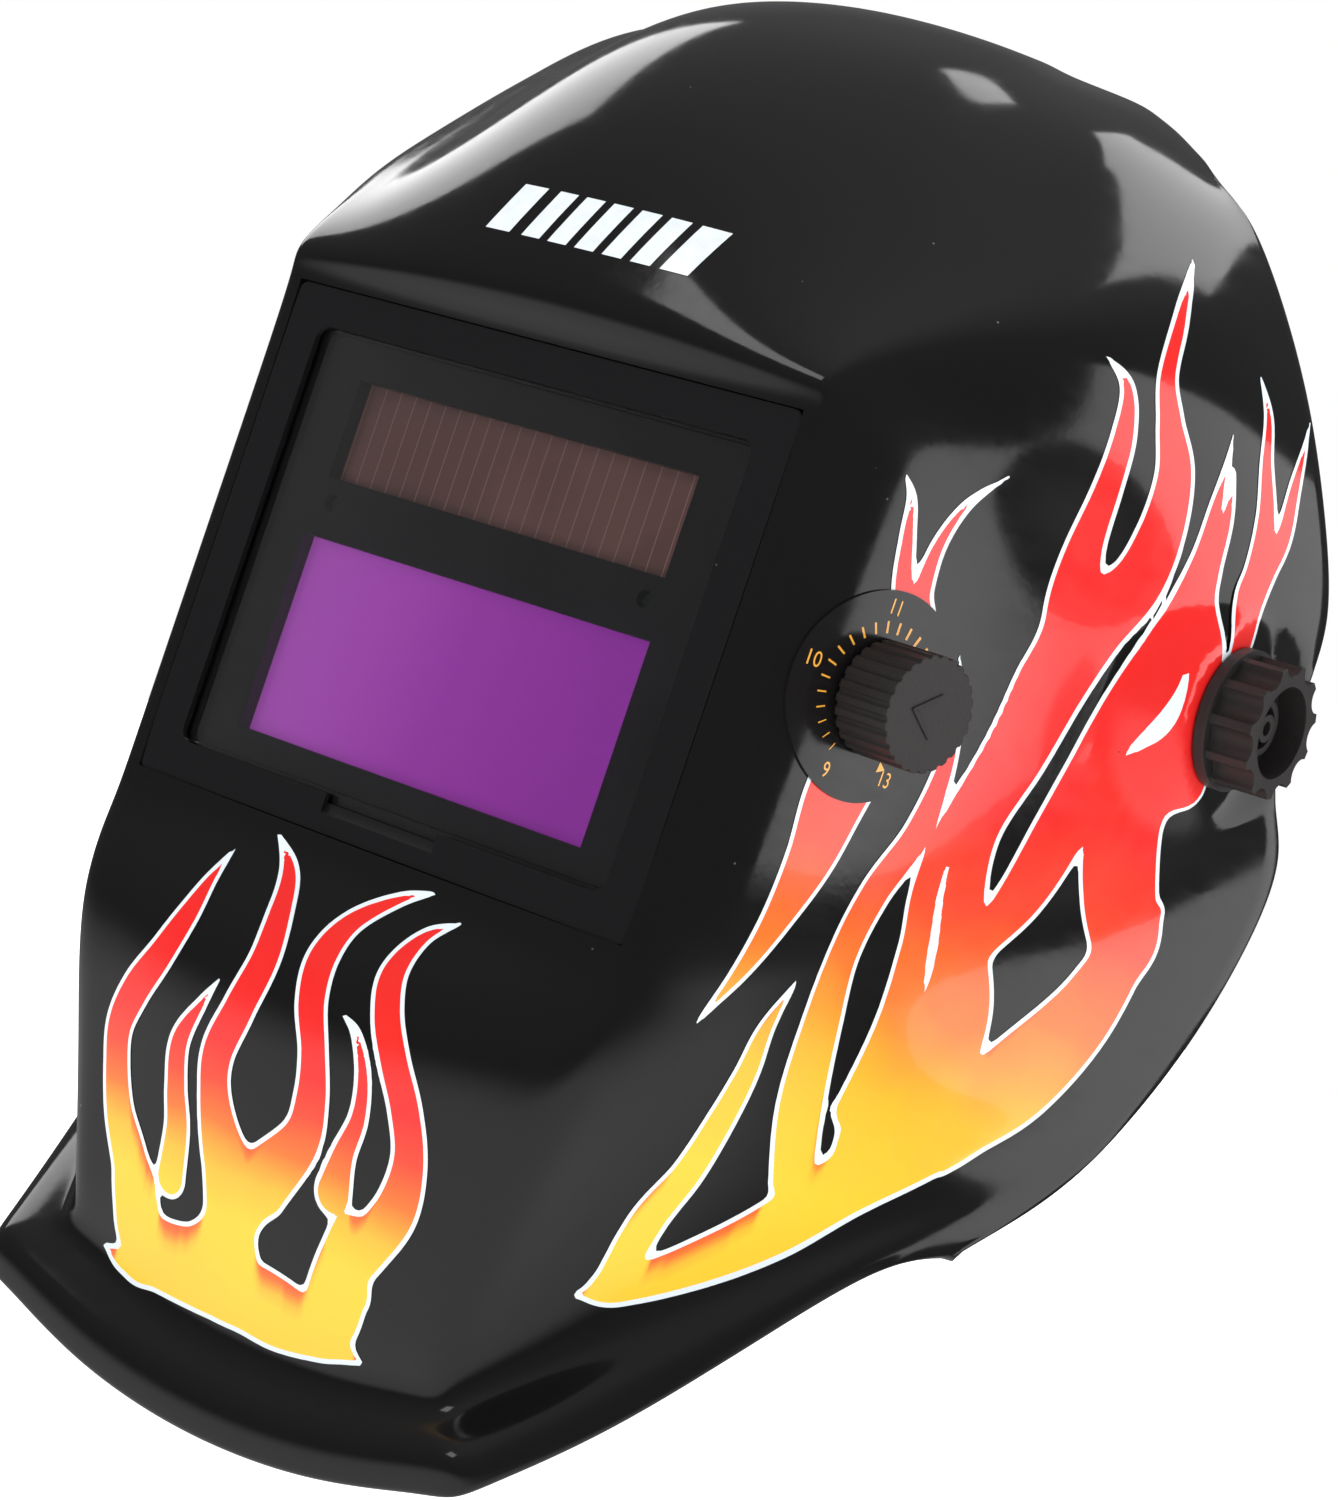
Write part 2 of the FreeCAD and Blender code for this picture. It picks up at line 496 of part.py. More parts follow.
# ---------------------------------------------------------------- shade control
def make_shade_control():
    plate_outer = offset_net(OUTER_NET, DIAL_THICK + 0.05)
    plate_inner = offset_net(OUTER_NET, 0.05)
    plate = skin(plate_outer, plate_inner)
    disc = rod(DIAL_DIAMETER, 16.0, DIAL_POINT - DIAL_OUT * 8.0, DIAL_OUT)
    plate = plate.common(disc).cut(rod(BUSH_DIAMETER + 0.3, 20.0, DIAL_POINT - DIAL_OUT * 10.0, DIAL_OUT))
    keep("shade_dial_plate", plate)

    seat = DIAL_POINT - DIAL_OUT * (SHELL_WALL + 0.35)
    pot = rod(17.0, 9.0, seat - DIAL_OUT * 9.0, DIAL_OUT)
    pot = pot.fuse(rod(BUSH_DIAMETER, SHELL_WALL + 0.35 + 3.6, seat, DIAL_OUT))
    shaft_hole = rod(SHAFT_DIAMETER + 2 * RUNNING, 20.0, seat - DIAL_OUT * 4.0, DIAL_OUT)
    keep("shade_potentiometer", pot.cut(shaft_hole).removeSplitter())
    washer_start = DIAL_POINT + DIAL_OUT * (DIAL_THICK + 0.35)
    keep("shade_washer", ring(12.0, BUSH_DIAMETER + 0.3, 0.6, washer_start, DIAL_OUT))
    nut_start = washer_start + DIAL_OUT * 0.6
    hexagon = Part.makePolygon([Vector(5.2 * math.cos(a), 5.2 * math.sin(a), 0)
                                for a in [math.pi / 3 * k for k in range(7)]])
    nut = along(Part.Face(hexagon).extrude(Vector(0, 0, 1.8)), nut_start, DIAL_OUT)
    keep("shade_nut", nut.cut(rod(BUSH_DIAMETER + 0.02, 5.0, nut_start, DIAL_OUT)))

    knob_start = DIAL_POINT + DIAL_OUT * (DIAL_THICK + 0.9)
    knob = ribbed_rod(SHADE_KNOB_DIAMETER, SHADE_KNOB_HEIGHT, knob_start, DIAL_OUT, 26, 0.75)
    recess = rod(14.0, 4.2, knob_start, DIAL_OUT)
    bore = rod(SHAFT_DIAMETER, SHADE_KNOB_HEIGHT - 3.0, knob_start, DIAL_OUT)
    keep("shade_knob", knob.cut(recess).cut(bore))
    shaft_start = seat - DIAL_OUT * 3.8
    shaft_length = (knob_start - shaft_start).Length + SHADE_KNOB_HEIGHT - 3.2
    keep("shade_shaft", rod(SHAFT_DIAMETER, shaft_length, shaft_start, DIAL_OUT))
    return seat - DIAL_OUT * 9.0


def round_route(points, diameter):
    """Tube along straight runs joined by tangent arcs, each as large as its runs allow."""
    edges = []
    start = points[0]
    for before, corner, after in zip(points, points[1:], points[2:]):
        arriving = (corner - before)
        leaving = (after - corner)
        turn = arriving.getAngle(leaving)
        radius = 0.45 * min(arriving.Length, leaving.Length) / math.tan(turn / 2)
        back_off = radius * math.tan(turn / 2)
        enter = corner - arriving.normalize() * back_off
        leave = corner + leaving.normalize() * back_off
        middle_way = (enter + leave) * 0.5 - corner
        middle = corner + middle_way.normalize() * (radius / math.cos(turn / 2) - radius)
        edges.append(Part.LineSegment(start, enter).toShape())
        edges.append(Part.Arc(enter, middle, leave).toShape())
        start = leave
    edges.append(Part.LineSegment(start, points[-1]).toShape())
    path = Part.Wire(edges)
    circle = Part.Wire(Part.Circle(points[0], points[1] - points[0], diameter / 2).toShape())
    return path.makePipeShell([circle], True, False)


def make_shade_cable(pot_back):
    """Lead from the top of the cartridge to the back of the shade potentiometer."""
    gland_x, gland_depth = 44.0, CASE_SPLIT + 3.2 - CARTRIDGE_FRONT
    start = window_point(gland_x, CARTRIDGE_FRONT + gland_depth, CARTRIDGE_HEIGHT / 2)
    keep("cable_gland", ring(5.0, CABLE_DIAMETER, 4.0, start, Vector(0, 0, 1)))
    points = [start,
              start + Vector(0, 0, 12.0),
              start + Vector(3.0, 9.0, 19.0),
              start + Vector(7.0, 20.0, 14.0),
              start + Vector(9.0, 27.0, 3.0),
              start + Vector(8.0, 30.0, -11.0),
              pot_back + Vector(-17.0, 4.5, 19.0),
              pot_back + Vector(-18.0, 5.5, 8.0),
              pot_back - DIAL_OUT * 11.0,
              pot_back]
    keep("shade_cable", round_route(points, CABLE_DIAMETER))


# ---------------------------------------------------------------- head gear
BAND_CENTRE_Y = BAND_FRONT - BAND_REACH          # centre of the front half ellipse
BAND_BACK_Y = BAND_CENTRE_Y + BAND_SIDE          # where the rear corners begin


def loop_face(grow):
    """Plan of the head loop, grown outwards by grow: half ellipse, sides, rounded back."""
    a = BAND_HALF_WIDTH + grow
    b = BAND_FRONT + grow
    c = BAND_REAR + grow
    front = half_ellipse(a, b, BAND_CENTRE_Y, -1)
    back = half_ellipse(a, c, BAND_BACK_Y, 1)
    left = Part.LineSegment(Vector(a, BAND_CENTRE_Y, 0), Vector(a, BAND_BACK_Y, 0)).toShape()
    right = Part.LineSegment(Vector(-a, BAND_BACK_Y, 0), Vector(-a, BAND_CENTRE_Y, 0)).toShape()
    return Part.Face(Part.Wire(Part.__sortEdges__([front, left, back, right])))


def half_ellipse(a, b, centre_y, sense):
    major, minor = max(a, b), min(a, b)
    centre = Vector(0, centre_y, 0)
    if a >= b:
        curve = Part.Ellipse(centre + Vector(a, 0, 0), centre + Vector(0, b, 0), centre)
        span = (0, math.pi) if sense > 0 else (math.pi, 2 * math.pi)
    else:
        curve = Part.Ellipse(centre + Vector(0, major, 0), centre + Vector(-minor, 0, 0), centre)
        span = (-math.pi / 2, math.pi / 2) if sense > 0 else (math.pi / 2, 3 * math.pi / 2)
    return Part.ArcOfEllipse(curve, span[0], span[1]).toShape()


def loop_ring(inner, outer, height, rise=0.0):
    """Upright ring between two growths of the head loop."""
    flat = loop_face(outer).cut(loop_face(inner))
    flat.translate(Vector(0, 0, rise - height / 2))
    return flat.extrude(Vector(0, 0, height))


def slab(low_y, high_y):
    return Part.makeBox(400, high_y - low_y, 400, Vector(-200, low_y, -200))


def tilted(shape):
    """Lean a piece of the head gear back with the band, about the pivot axis."""
    leaning = shape.copy()
    leaning.rotate(Vector(0, 0, 0), AXIS, -BAND_TILT)
    return leaning


def both_sides(shape):
    return group([shape, mirrored(shape)])


BAND_END_Y = BAND_BACK_Y - 11.0                  # rear ends of the front band
PEG_Y = BAND_END_Y - 6.0                         # slide pegs, with the band let out
STRAP_OUT = -SLOT_GAP                            # outer face of the straps, from the loop
STRAP_IN = STRAP_OUT - STRAP_THICK
STRAP_START_Y = PEG_Y - 8.0
RACK_LAP = 34.0                                  # how far each strap passes the middle
CROWN_Y = BAND_CENTRE_Y - 12.0                   # middle of the crown strap
FOOT_X = BAND_HALF_WIDTH + BAND_THICK + 0.1      # where straps and brackets lie on the band
FOOT_REAR_Y = PEG_Y - STRAP_TRAVEL - 5.5         # bracket's foot, clear of the slide pegs
FOOT_FRONT_Y = FOOT_REAR_Y - 14.5
BRACKET_RIVET_Y = (FOOT_REAR_Y + FOOT_FRONT_Y) / 2
BRACKET_RIVET_Z = BRACKET_HEIGHT / 2 - 4.0
BRACKET_FACE = PIVOT_IN - WASHER_THICK - LEVER_THICK - 3 * FACE_GAP


def rivet(x, y, z, length):
    """Domed push rivet pointing inwards from x on the left side."""
    shank = rod(RIVET_DIAMETER, length, Vector(x, y, z), AXIS * -1)
    head = Part.makeCone(RIVET_DIAMETER * 0.9, RIVET_DIAMETER * 0.6, 1.6, Vector(x, y, z), AXIS)
    return shank.fuse(head).removeSplitter()


def make_band():
    outer = BAND_THICK
    band = loop_ring(0, outer, BAND_HEIGHT).common(slab(-200, BAND_END_Y))
    slot_half = PEG_DIAMETER / 2 + SLOT_GAP
    slot_front = PEG_Y - STRAP_TRAVEL
    slot = box(400, STRAP_TRAVEL, 2 * slot_half, 0, slot_front, 0)
    slot = slot.fuse(rod(2 * slot_half, 400, Vector(-200, slot_front, 0), AXIS))
    slot = slot.fuse(rod(2 * slot_half, 400, Vector(-200, PEG_Y, 0), AXIS))
    band = band.cut(slot)
    rivet_spots = [(BRACKET_RIVET_Y, BRACKET_RIVET_Z), (BRACKET_RIVET_Y, -BRACKET_RIVET_Z),
                   (CROWN_Y, CROWN_RIVET_Z)]
    for y, z in rivet_spots:
        band = band.cut(rod(RIVET_DIAMETER, 400, Vector(-200, y, z), AXIS))
    keep("headband_front", tilted(band))
    pad = loop_ring(-SLOT_GAP - PAD_THICK, -SLOT_GAP, BAND_HEIGHT + 6.0).common(slab(-200, -4.0))
    keep("sweatband", tilted(pad))


def strap_solid(inner, outer):
    """Rear strap of the left side, from its peg round to its rack end past the middle."""
    strap = loop_ring(inner, outer, STRAP_HEIGHT).common(slab(STRAP_START_Y, 400))
    return strap.common(Part.makeBox(400, 800, 800, Vector(-RACK_LAP, -400, -400)))


def make_straps():
    left = strap_solid(STRAP_IN, STRAP_OUT)
    right = mirrored(left)
    lap = RACK_LAP + 2.0
    back_half = Part.makeBox(2 * lap, 200, 200, Vector(-lap, BAND_BACK_Y, -100))
    half_thick = STRAP_THICK / 2 - 0.1
    inner_layer = loop_ring(STRAP_IN, STRAP_IN + half_thick, STRAP_HEIGHT).common(back_half)
    outer_layer = loop_ring(STRAP_OUT - half_thick, STRAP_OUT, STRAP_HEIGHT).common(back_half)
    clip_left = Part.makeBox(400, 800, 800, Vector(-RACK_LAP, -400, -400))
    clip_right = Part.makeBox(400, 800, 800, Vector(RACK_LAP - 400, -400, -400))
    left = left.cut(back_half).fuse(inner_layer.common(clip_left)).removeSplitter()
    right = right.cut(back_half).fuse(outer_layer.common(clip_right)).removeSplitter()
    slot_h = PINION_DIAMETER + 1.0
    slot = box(2 * RACK_LAP - 8.0, 60.0, slot_h, 0, HOUSING_FRONT - 20.0, 0)
    teeth = []
    pitch = 2.6
    for index in range(int((RACK_LAP - 8.0) / pitch)):
        for side in (-1, 1):
            x = side * (4.0 + pitch * (index + 0.5))
            teeth.append(box(pitch * 0.5, 60.0, 1.2, x, HOUSING_FRONT - 20.0, slot_h / 2 + 0.4))
            teeth.append(box(pitch * 0.5, 60.0, 1.2, x, HOUSING_FRONT - 20.0, -slot_h / 2 - 0.4))
    cutter = slot.fuse(teeth)
    peg_hole = rod(PEG_DIAMETER, 400, Vector(-200, PEG_Y, 0), AXIS)
    keep("rear_strap_left", tilted(left.cut(cutter).cut(peg_hole)))
    keep("rear_strap_right", tilted(right.cut(cutter).cut(peg_hole)))
    peg_out = BAND_HALF_WIDTH + BAND_THICK + SLOT_GAP
    peg_in = BAND_HALF_WIDTH + STRAP_IN
    peg = rod(PEG_DIAMETER, peg_out - peg_in, Vector(peg_in, PEG_Y, 0), AXIS)
    peg = peg.fuse(rod(PEG_DIAMETER + 4.0, 1.4, Vector(peg_out, PEG_Y, 0), AXIS)).removeSplitter()
    keep("slide_pegs", tilted(both_sides(peg)))


STRAP_BACK_Y = BAND_BACK_Y + BAND_REAR + STRAP_OUT   # outer face of the straps at the back
HOUSING_FRONT = STRAP_BACK_Y - STRAP_THICK - 9.0
HOUSING_BACK = STRAP_BACK_Y + 3.0


def loop_block(width, height, low_y, high_y):
    """Rounded block across the back of the head."""
    return rounded_plate(width, height, high_y - low_y, 8.0, 0, low_y, 0)


def make_ratchet():
    channel = loop_ring(STRAP_IN - 0.3, STRAP_OUT + 0.3, STRAP_HEIGHT + 0.6).common(slab(BAND_BACK_Y, 400))
    housing = loop_block(HOUSING_WIDTH, HOUSING_HEIGHT, HOUSING_FRONT, HOUSING_BACK).cut(channel)
    inside = loop_face(STRAP_IN - 2.2)
    inside.translate(Vector(0, 0, -100))
    housing = housing.cut(inside.extrude(Vector(0, 0, 200)))
    stem = RATCHET_STEM_DIAMETER
    hole = rod(PINION_DIAMETER + 2 * SLOT_GAP, 80, Vector(0, HOUSING_FRONT, 0), BACKWARDS)
    housing = housing.cut(hole)
    keep("ratchet_housing", tilted(housing))
    cover = loop_block(HOUSING_WIDTH - 6.0, HOUSING_HEIGHT - 3.0, HOUSING_BACK + HALF_FIT,
                       HOUSING_BACK + COVER_THICK)
    spring_room = rod(25.0, COVER_THICK - 2.0, Vector(0, HOUSING_BACK, 0), BACKWARDS)
    cover = cover.cut(spring_room).cut(rod(stem + 2 * RUNNING, 80, Vector(0, HOUSING_BACK, 0), BACKWARDS))
    screw_x = HOUSING_WIDTH / 2 - 9.0
    for side in (-1, 1):
        cover = cover.cut(rod(3.0, 80, Vector(side * screw_x, HOUSING_BACK, 0), BACKWARDS))
    keep("ratchet_cover", tilted(cover))
    screws = []
    for side in (-1, 1):
        head = Vector(side * screw_x, HOUSING_BACK + COVER_THICK, 0)
        screw = rod(2.8, COVER_THICK - 0.1, head - BACKWARDS * (COVER_THICK - 0.1), BACKWARDS)
        screw = screw.fuse(rod(5.4, 1.5, head, BACKWARDS))
        screws.append(screw.cut(rod(2.2, 1.0, head + BACKWARDS * 0.7, BACKWARDS)))
    keep("ratchet_screws", tilted(group(screws)))

    pinion_front = STRAP_BACK_Y - STRAP_THICK - 1.0
    pinion = ribbed_rod(PINION_DIAMETER, HOUSING_BACK - pinion_front, Vector(0, pinion_front, 0),
                        BACKWARDS, 10, 0.8)
    knob_front = HOUSING_BACK + COVER_THICK + FACE_GAP
    knob_depth = RATCHET_KNOB_DEPTH
    pinion = pinion.fuse(rod(stem, knob_front + 9.0 - HOUSING_BACK, Vector(0, HOUSING_BACK, 0), BACKWARDS))
    wheel = rod(16.0, 1.6, Vector(0, HOUSING_BACK + 0.4, 0), BACKWARDS)
    keep("ratchet_pinion", tilted(pinion.fuse(wheel).removeSplitter()))
    knob = ribbed_rod(RATCHET_KNOB_DIAMETER, knob_depth, Vector(0, knob_front, 0), BACKWARDS, 14, 2.4)
    knob = knob.cut(rod(stem, 9.2, Vector(0, knob_front, 0), BACKWARDS))
    face_recess = Vector(0, knob_front + knob_depth - 2.0, 0)
    knob = knob.cut(rod(RATCHET_KNOB_DIAMETER - 12.0, 2.0, face_recess, BACKWARDS))
    keep("ratchet_knob", tilted(knob))
    leaf = ring(23.0, 21.0, 1.2, Vector(0, HOUSING_BACK + 0.6, 0), BACKWARDS)
    leaf = leaf.cut(box(6.0, 10.0, 40.0, 0, HOUSING_BACK, 20.0))
    keep("pawl_spring", tilted(leaf))
    pad_back = HOUSING_FRONT + 9.0 - 2.6
    nape = loop_ring(STRAP_IN - 2.4 - 8.0, STRAP_IN - 2.4, 40.0).common(
        Part.makeBox(76, 60, 60, Vector(-38, pad_back - 30, -30)))
    keep("nape_pad", tilted(nape))




def crown_half(grow):
    """One half of the crown strap, reaching past the middle of the head."""
    inner = FOOT_X + grow
    rise = CROWN_STRAP_RISE + grow
    body = arch_solid(inner + CROWN_STRAP_THICK, rise + CROWN_STRAP_THICK).cut(arch_solid(inner, rise))
    return body.common(Part.makeBox(400, 400, 400, Vector(-26.0, -200, -200)))


def make_crown_straps():
    """Two pegged halves over the top of the head."""
    step = CROWN_STRAP_THICK + 0.1
    left = crown_half(0)
    right = crown_half(step)
    foot = Part.makeBox(step, CROWN_STRAP_WIDTH, 16.0, Vector(FOOT_X, CROWN_Y - CROWN_STRAP_WIDTH / 2, 0))
    right = mirrored(right.fuse(foot).removeSplitter())
    upwards = Vector(0, 0, 1)
    holes = group([rod(4.4, 60, Vector(index * 10.0, CROWN_Y, CROWN_STRAP_RISE - 20.0), upwards)
                   for index in range(-2, 3)])
    rivet_hole = rod(RIVET_DIAMETER, 400, Vector(-200, CROWN_Y, CROWN_RIVET_Z), AXIS)
    keep("crown_strap_left", tilted(left.cut(holes).cut(rivet_hole)))
    keep("crown_strap_right", tilted(right.cut(holes).cut(rivet_hole)))
    top = CROWN_CENTRE_Z + CROWN_STRAP_RISE
    head = top + 2 * CROWN_STRAP_THICK + 0.3
    pegs = []
    for x in (-10.0, 10.0):
        shank = rod(4.0, head - top + 2.0, Vector(x, CROWN_Y, top - 2.0), upwards)
        pegs.append(shank.fuse(rod(7.0, 1.2, Vector(x, CROWN_Y, head), upwards)))
    keep("crown_strap_pegs", tilted(group(pegs)))


def arch_solid(a, b):
    """Half elliptic arch with short upright feet, under the crown strap."""
    centre_z = CROWN_CENTRE_Z
    points = []
    steps = 24
    for index in range(steps + 1):
        angle = math.pi * index / steps
        points.append(Vector(a * math.cos(angle), 0, centre_z + b * math.sin(angle)))
    curve = Part.BSplineCurve()
    curve.interpolate(points, InitialTangent=Vector(0, 0, 1), FinalTangent=Vector(0, 0, -1))
    low = Vector(0, 0, centre_z + 8.0)
    edges = [curve.toShape(),
             Part.LineSegment(points[-1], points[-1] - low).toShape(),
             Part.LineSegment(points[-1] - low, points[0] - low).toShape(),
             Part.LineSegment(points[0] - low, points[0]).toShape()]
    face = Part.Face(Part.Wire(edges))
    face.translate(Vector(0, CROWN_Y - CROWN_STRAP_WIDTH / 2, 0))
    return face.extrude(Vector(0, CROWN_STRAP_WIDTH, 0))


def make_brackets():
    """Bowed arms from the band out to the pivots, with their rivets."""
    low_x, high_x = FOOT_X, BRACKET_FACE - BRACKET_THICK
    lean = math.atan2(high_x - low_x, FOOT_FRONT_Y - 10.0)
    path = [Vector(low_x, FOOT_REAR_Y, 0), Vector(low_x, FOOT_FRONT_Y, 0), Vector(high_x, 10.0, 0),
            Vector(high_x, -12.0, 0)]
    across = BRACKET_THICK
    along_y = BRACKET_THICK * math.tan(lean / 2)
    shifts = [Vector(across, y, 0) for y in (0, along_y, along_y, 0)]
    outline = path + [p + s for p, s in zip(reversed(path), reversed(shifts))]
    plan = Part.Face(Part.makePolygon(outline + [outline[0]]))
    plan.translate(Vector(0, 0, -BRACKET_HEIGHT / 2))
    arm = plan.extrude(Vector(0, 0, BRACKET_HEIGHT))
    for z in (-BRACKET_RIVET_Z, BRACKET_RIVET_Z):
        arm = arm.cut(rod(RIVET_DIAMETER, 30, Vector(FOOT_X - 5.0, BRACKET_RIVET_Y, z), AXIS))
    arm = tilted(arm).fuse(rod(30.0, BRACKET_THICK, Vector(high_x, 0, 0), AXIS))
    arm = arm.cut(rod(PIVOT_DIAMETER, 30, Vector(high_x - 10.0, 0, 0), AXIS)).removeSplitter()
    keep("side_bracket_left", arm)
    keep("side_bracket_right", mirrored(arm))
    rivets = [rivet(FOOT_X + BRACKET_THICK, BRACKET_RIVET_Y, z, BRACKET_THICK + BAND_THICK)
              for z in (-BRACKET_RIVET_Z, BRACKET_RIVET_Z)]
    keep("bracket_rivets", tilted(both_sides(group(rivets))))
    left_stack = CROWN_STRAP_THICK + 0.2
    right_stack = 2 * CROWN_STRAP_THICK + 0.3
    crown_left = rivet(FOOT_X + left_stack, CROWN_Y, CROWN_RIVET_Z, BAND_THICK + left_stack)
    crown_right = mirrored(rivet(FOOT_X + right_stack, CROWN_Y, CROWN_RIVET_Z, BAND_THICK + right_stack))
    keep("crown_rivets", tilted(group([crown_left, crown_right])))


KNOB_BASE = PIVOT_OUT + CLAMP_WASHER_THICK + 2 * FACE_GAP


def make_pivots():
    """Studs, washers and the lever that sets how low the shell rests."""
    head_x = BRACKET_FACE - BRACKET_THICK
    reach = KNOB_BASE + INSERT_START + INSERT_THICK - 0.1
    stud = rod(PIVOT_DIAMETER, reach - head_x, Vector(head_x, 0, 0), AXIS)
    stud = stud.fuse(rod(16.0, 2.5, Vector(head_x - 2.5, 0, 0), AXIS)).removeSplitter()
    keep("pivot_studs", both_sides(stud))

    hole = PIVOT_DIAMETER + 0.4
    inner_face = PIVOT_IN - FACE_GAP
    spacer_thick = WASHER_THICK + LEVER_THICK + FACE_GAP
    left = ring(28.0, hole, spacer_thick, Vector(inner_face - spacer_thick, 0, 0), AXIS)
    right = mirrored(ring(28.0, hole, WASHER_THICK, Vector(inner_face - WASHER_THICK, 0, 0), AXIS))
    keep("friction_washers", group([left, right]))
    clamp = ring(26.0, hole, CLAMP_WASHER_THICK, Vector(PIVOT_OUT + FACE_GAP, 0, 0), AXIS)
    keep("clamp_washers", both_sides(clamp))

    lever_x = BRACKET_FACE + FACE_GAP
    lever = rod(26.0, LEVER_THICK, Vector(lever_x, 0, 0), AXIS)
    lever = lever.fuse(Part.makeBox(LEVER_THICK, 34.0, 9.0, Vector(lever_x, 0, -4.5)))
    lever = lever.fuse(Part.makeBox(6.0, 3.0, 9.0, Vector(lever_x + LEVER_THICK - 6.0, 31.0, -4.5)))
    bore = rod(PIVOT_DIAMETER + 2 * RUNNING, 30, Vector(lever_x - 10.0, 0, 0), AXIS)
    lever = lever.cut(bore).removeSplitter()
    lever.rotate(Vector(0, 0, 0), AXIS, -30.0)
    keep("angle_stop_lever", mirrored(lever))


def make_tension_knobs():
    """Scalloped knobs with a collar, a hollow face and a hexagonal insert."""
    start = Vector(KNOB_BASE, 0, 0)
    collar_height = 2.5
    grip_height = TENSION_KNOB_HEIGHT - collar_height
    knob = ribbed_rod(TENSION_KNOB_DIAMETER, grip_height, start + AXIS * collar_height, AXIS, 11, 3.4)
    knob = knob.fuse(rod(TENSION_COLLAR_DIAMETER, collar_height, start, AXIS))
    floor = start + AXIS * KNOB_FLOOR
    knob = knob.cut(rod(TENSION_KNOB_DIAMETER - 8.5, TENSION_KNOB_HEIGHT, floor, AXIS))
    knob = knob.fuse(ring(12.0, 9.0, 2.4, floor, AXIS)).fuse(ring(6.0, 3.0, 3.2, floor, AXIS))
    corner = PIVOT_DIAMETER * 0.9
    hexagon = Part.makePolygon([Vector(corner * math.cos(a), corner * math.sin(a), 0)
                                for a in [math.pi / 3 * k for k in range(7)]])
    insert = along(Part.Face(hexagon).extrude(Vector(0, 0, INSERT_THICK)), start + AXIS * INSERT_START, AXIS)
    bore = rod(PIVOT_DIAMETER + 2 * RUNNING, INSERT_START + INSERT_THICK, start, AXIS)
    knob = knob.cut(insert).cut(bore).removeSplitter()
    insert = insert.cut(bore)
    keep("tension_knob_left", knob)
    keep("tension_knob_right", mirrored(knob))
    keep("knob_insert_left", insert)
    keep("knob_insert_right", mirrored(insert))


keep("shell", make_shell())
make_retainer(make_window())
make_shade_cable(make_shade_control())
make_band()
make_straps()
make_ratchet()
make_crown_straps()
make_brackets()
make_pivots()
make_tension_knobs()

for node_name, node_shape in nodes.items():
    node_shape.exportStep("parts/" + node_name + ".step")
    valid = node_shape.isValid()
    print(node_name, len(node_shape.Solids), round(node_shape.Volume), "" if valid else "NOT VALID")
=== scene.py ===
import json
import math

import bmesh
import bpy
import numpy as np
from mathutils import Matrix, Vector
from mathutils.bvhtree import BVHTree


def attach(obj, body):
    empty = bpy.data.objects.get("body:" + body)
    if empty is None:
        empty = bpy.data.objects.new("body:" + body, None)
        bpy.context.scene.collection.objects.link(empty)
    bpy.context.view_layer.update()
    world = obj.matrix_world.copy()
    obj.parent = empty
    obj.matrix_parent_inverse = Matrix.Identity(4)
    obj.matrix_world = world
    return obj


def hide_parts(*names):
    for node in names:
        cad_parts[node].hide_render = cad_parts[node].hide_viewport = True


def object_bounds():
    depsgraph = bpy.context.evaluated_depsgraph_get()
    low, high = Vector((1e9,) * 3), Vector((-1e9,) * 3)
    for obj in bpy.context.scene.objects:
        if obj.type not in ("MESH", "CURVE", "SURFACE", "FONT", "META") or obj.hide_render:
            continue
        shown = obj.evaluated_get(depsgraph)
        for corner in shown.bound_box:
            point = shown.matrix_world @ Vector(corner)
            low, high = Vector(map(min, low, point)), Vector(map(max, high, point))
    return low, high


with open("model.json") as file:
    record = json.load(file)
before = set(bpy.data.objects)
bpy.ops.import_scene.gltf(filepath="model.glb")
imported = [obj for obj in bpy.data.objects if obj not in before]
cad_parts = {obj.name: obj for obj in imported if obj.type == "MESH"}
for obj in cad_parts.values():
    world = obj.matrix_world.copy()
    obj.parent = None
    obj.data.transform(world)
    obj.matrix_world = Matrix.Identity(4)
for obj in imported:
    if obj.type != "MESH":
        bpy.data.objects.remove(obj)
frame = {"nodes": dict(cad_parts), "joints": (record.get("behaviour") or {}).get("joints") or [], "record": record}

cad_low, cad_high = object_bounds()
MM = 0.001
nodes = frame["nodes"]

# ------------------------------------------------------------------ driving sizes, in millimetres
PIVOT_BACK = 110.0           # window face to the tilt pivot, which is the frame's origin
PIVOT_RISE = 28.0            # window centre to the tilt pivot
SHELL_WALL = 2.4
PIVOT_SEAT = 114.01          # flat seat of the tension knob, from the middle
SEAT_RADIUS = 16.0
SEAT_BLEND = 11.0
BOSS_INSIDE = 106.41         # inner face of the pivot boss
POCKET_HALF = (65.55, 53.55) # the bezel's pocket in the shell, half width and half height
FLANGE_OUT = 2.0             # the pocket's wall thickness
OPENING_HALF = (56.4, 44.9)
FLANGE_DEPTHS = (3.3, 5.7)
SCREW_BOSS = (62.2, 32.0, 3.5, 19.1)   # across, up, radius, depth
ROW_STEPS = 12               # mesh rows and columns in each span of the shell's net
COLUMN_STEPS = 12
PAINT_LIFT = 0.14
WHITE_EDGE = 0.95            # width of the white edge of the flames
PAINT_CELL = 0.9             # mesh size of the printed flames
ROUNDING = 2.2               # how softly tongues run into each other
LIP_ROUND = 1.15

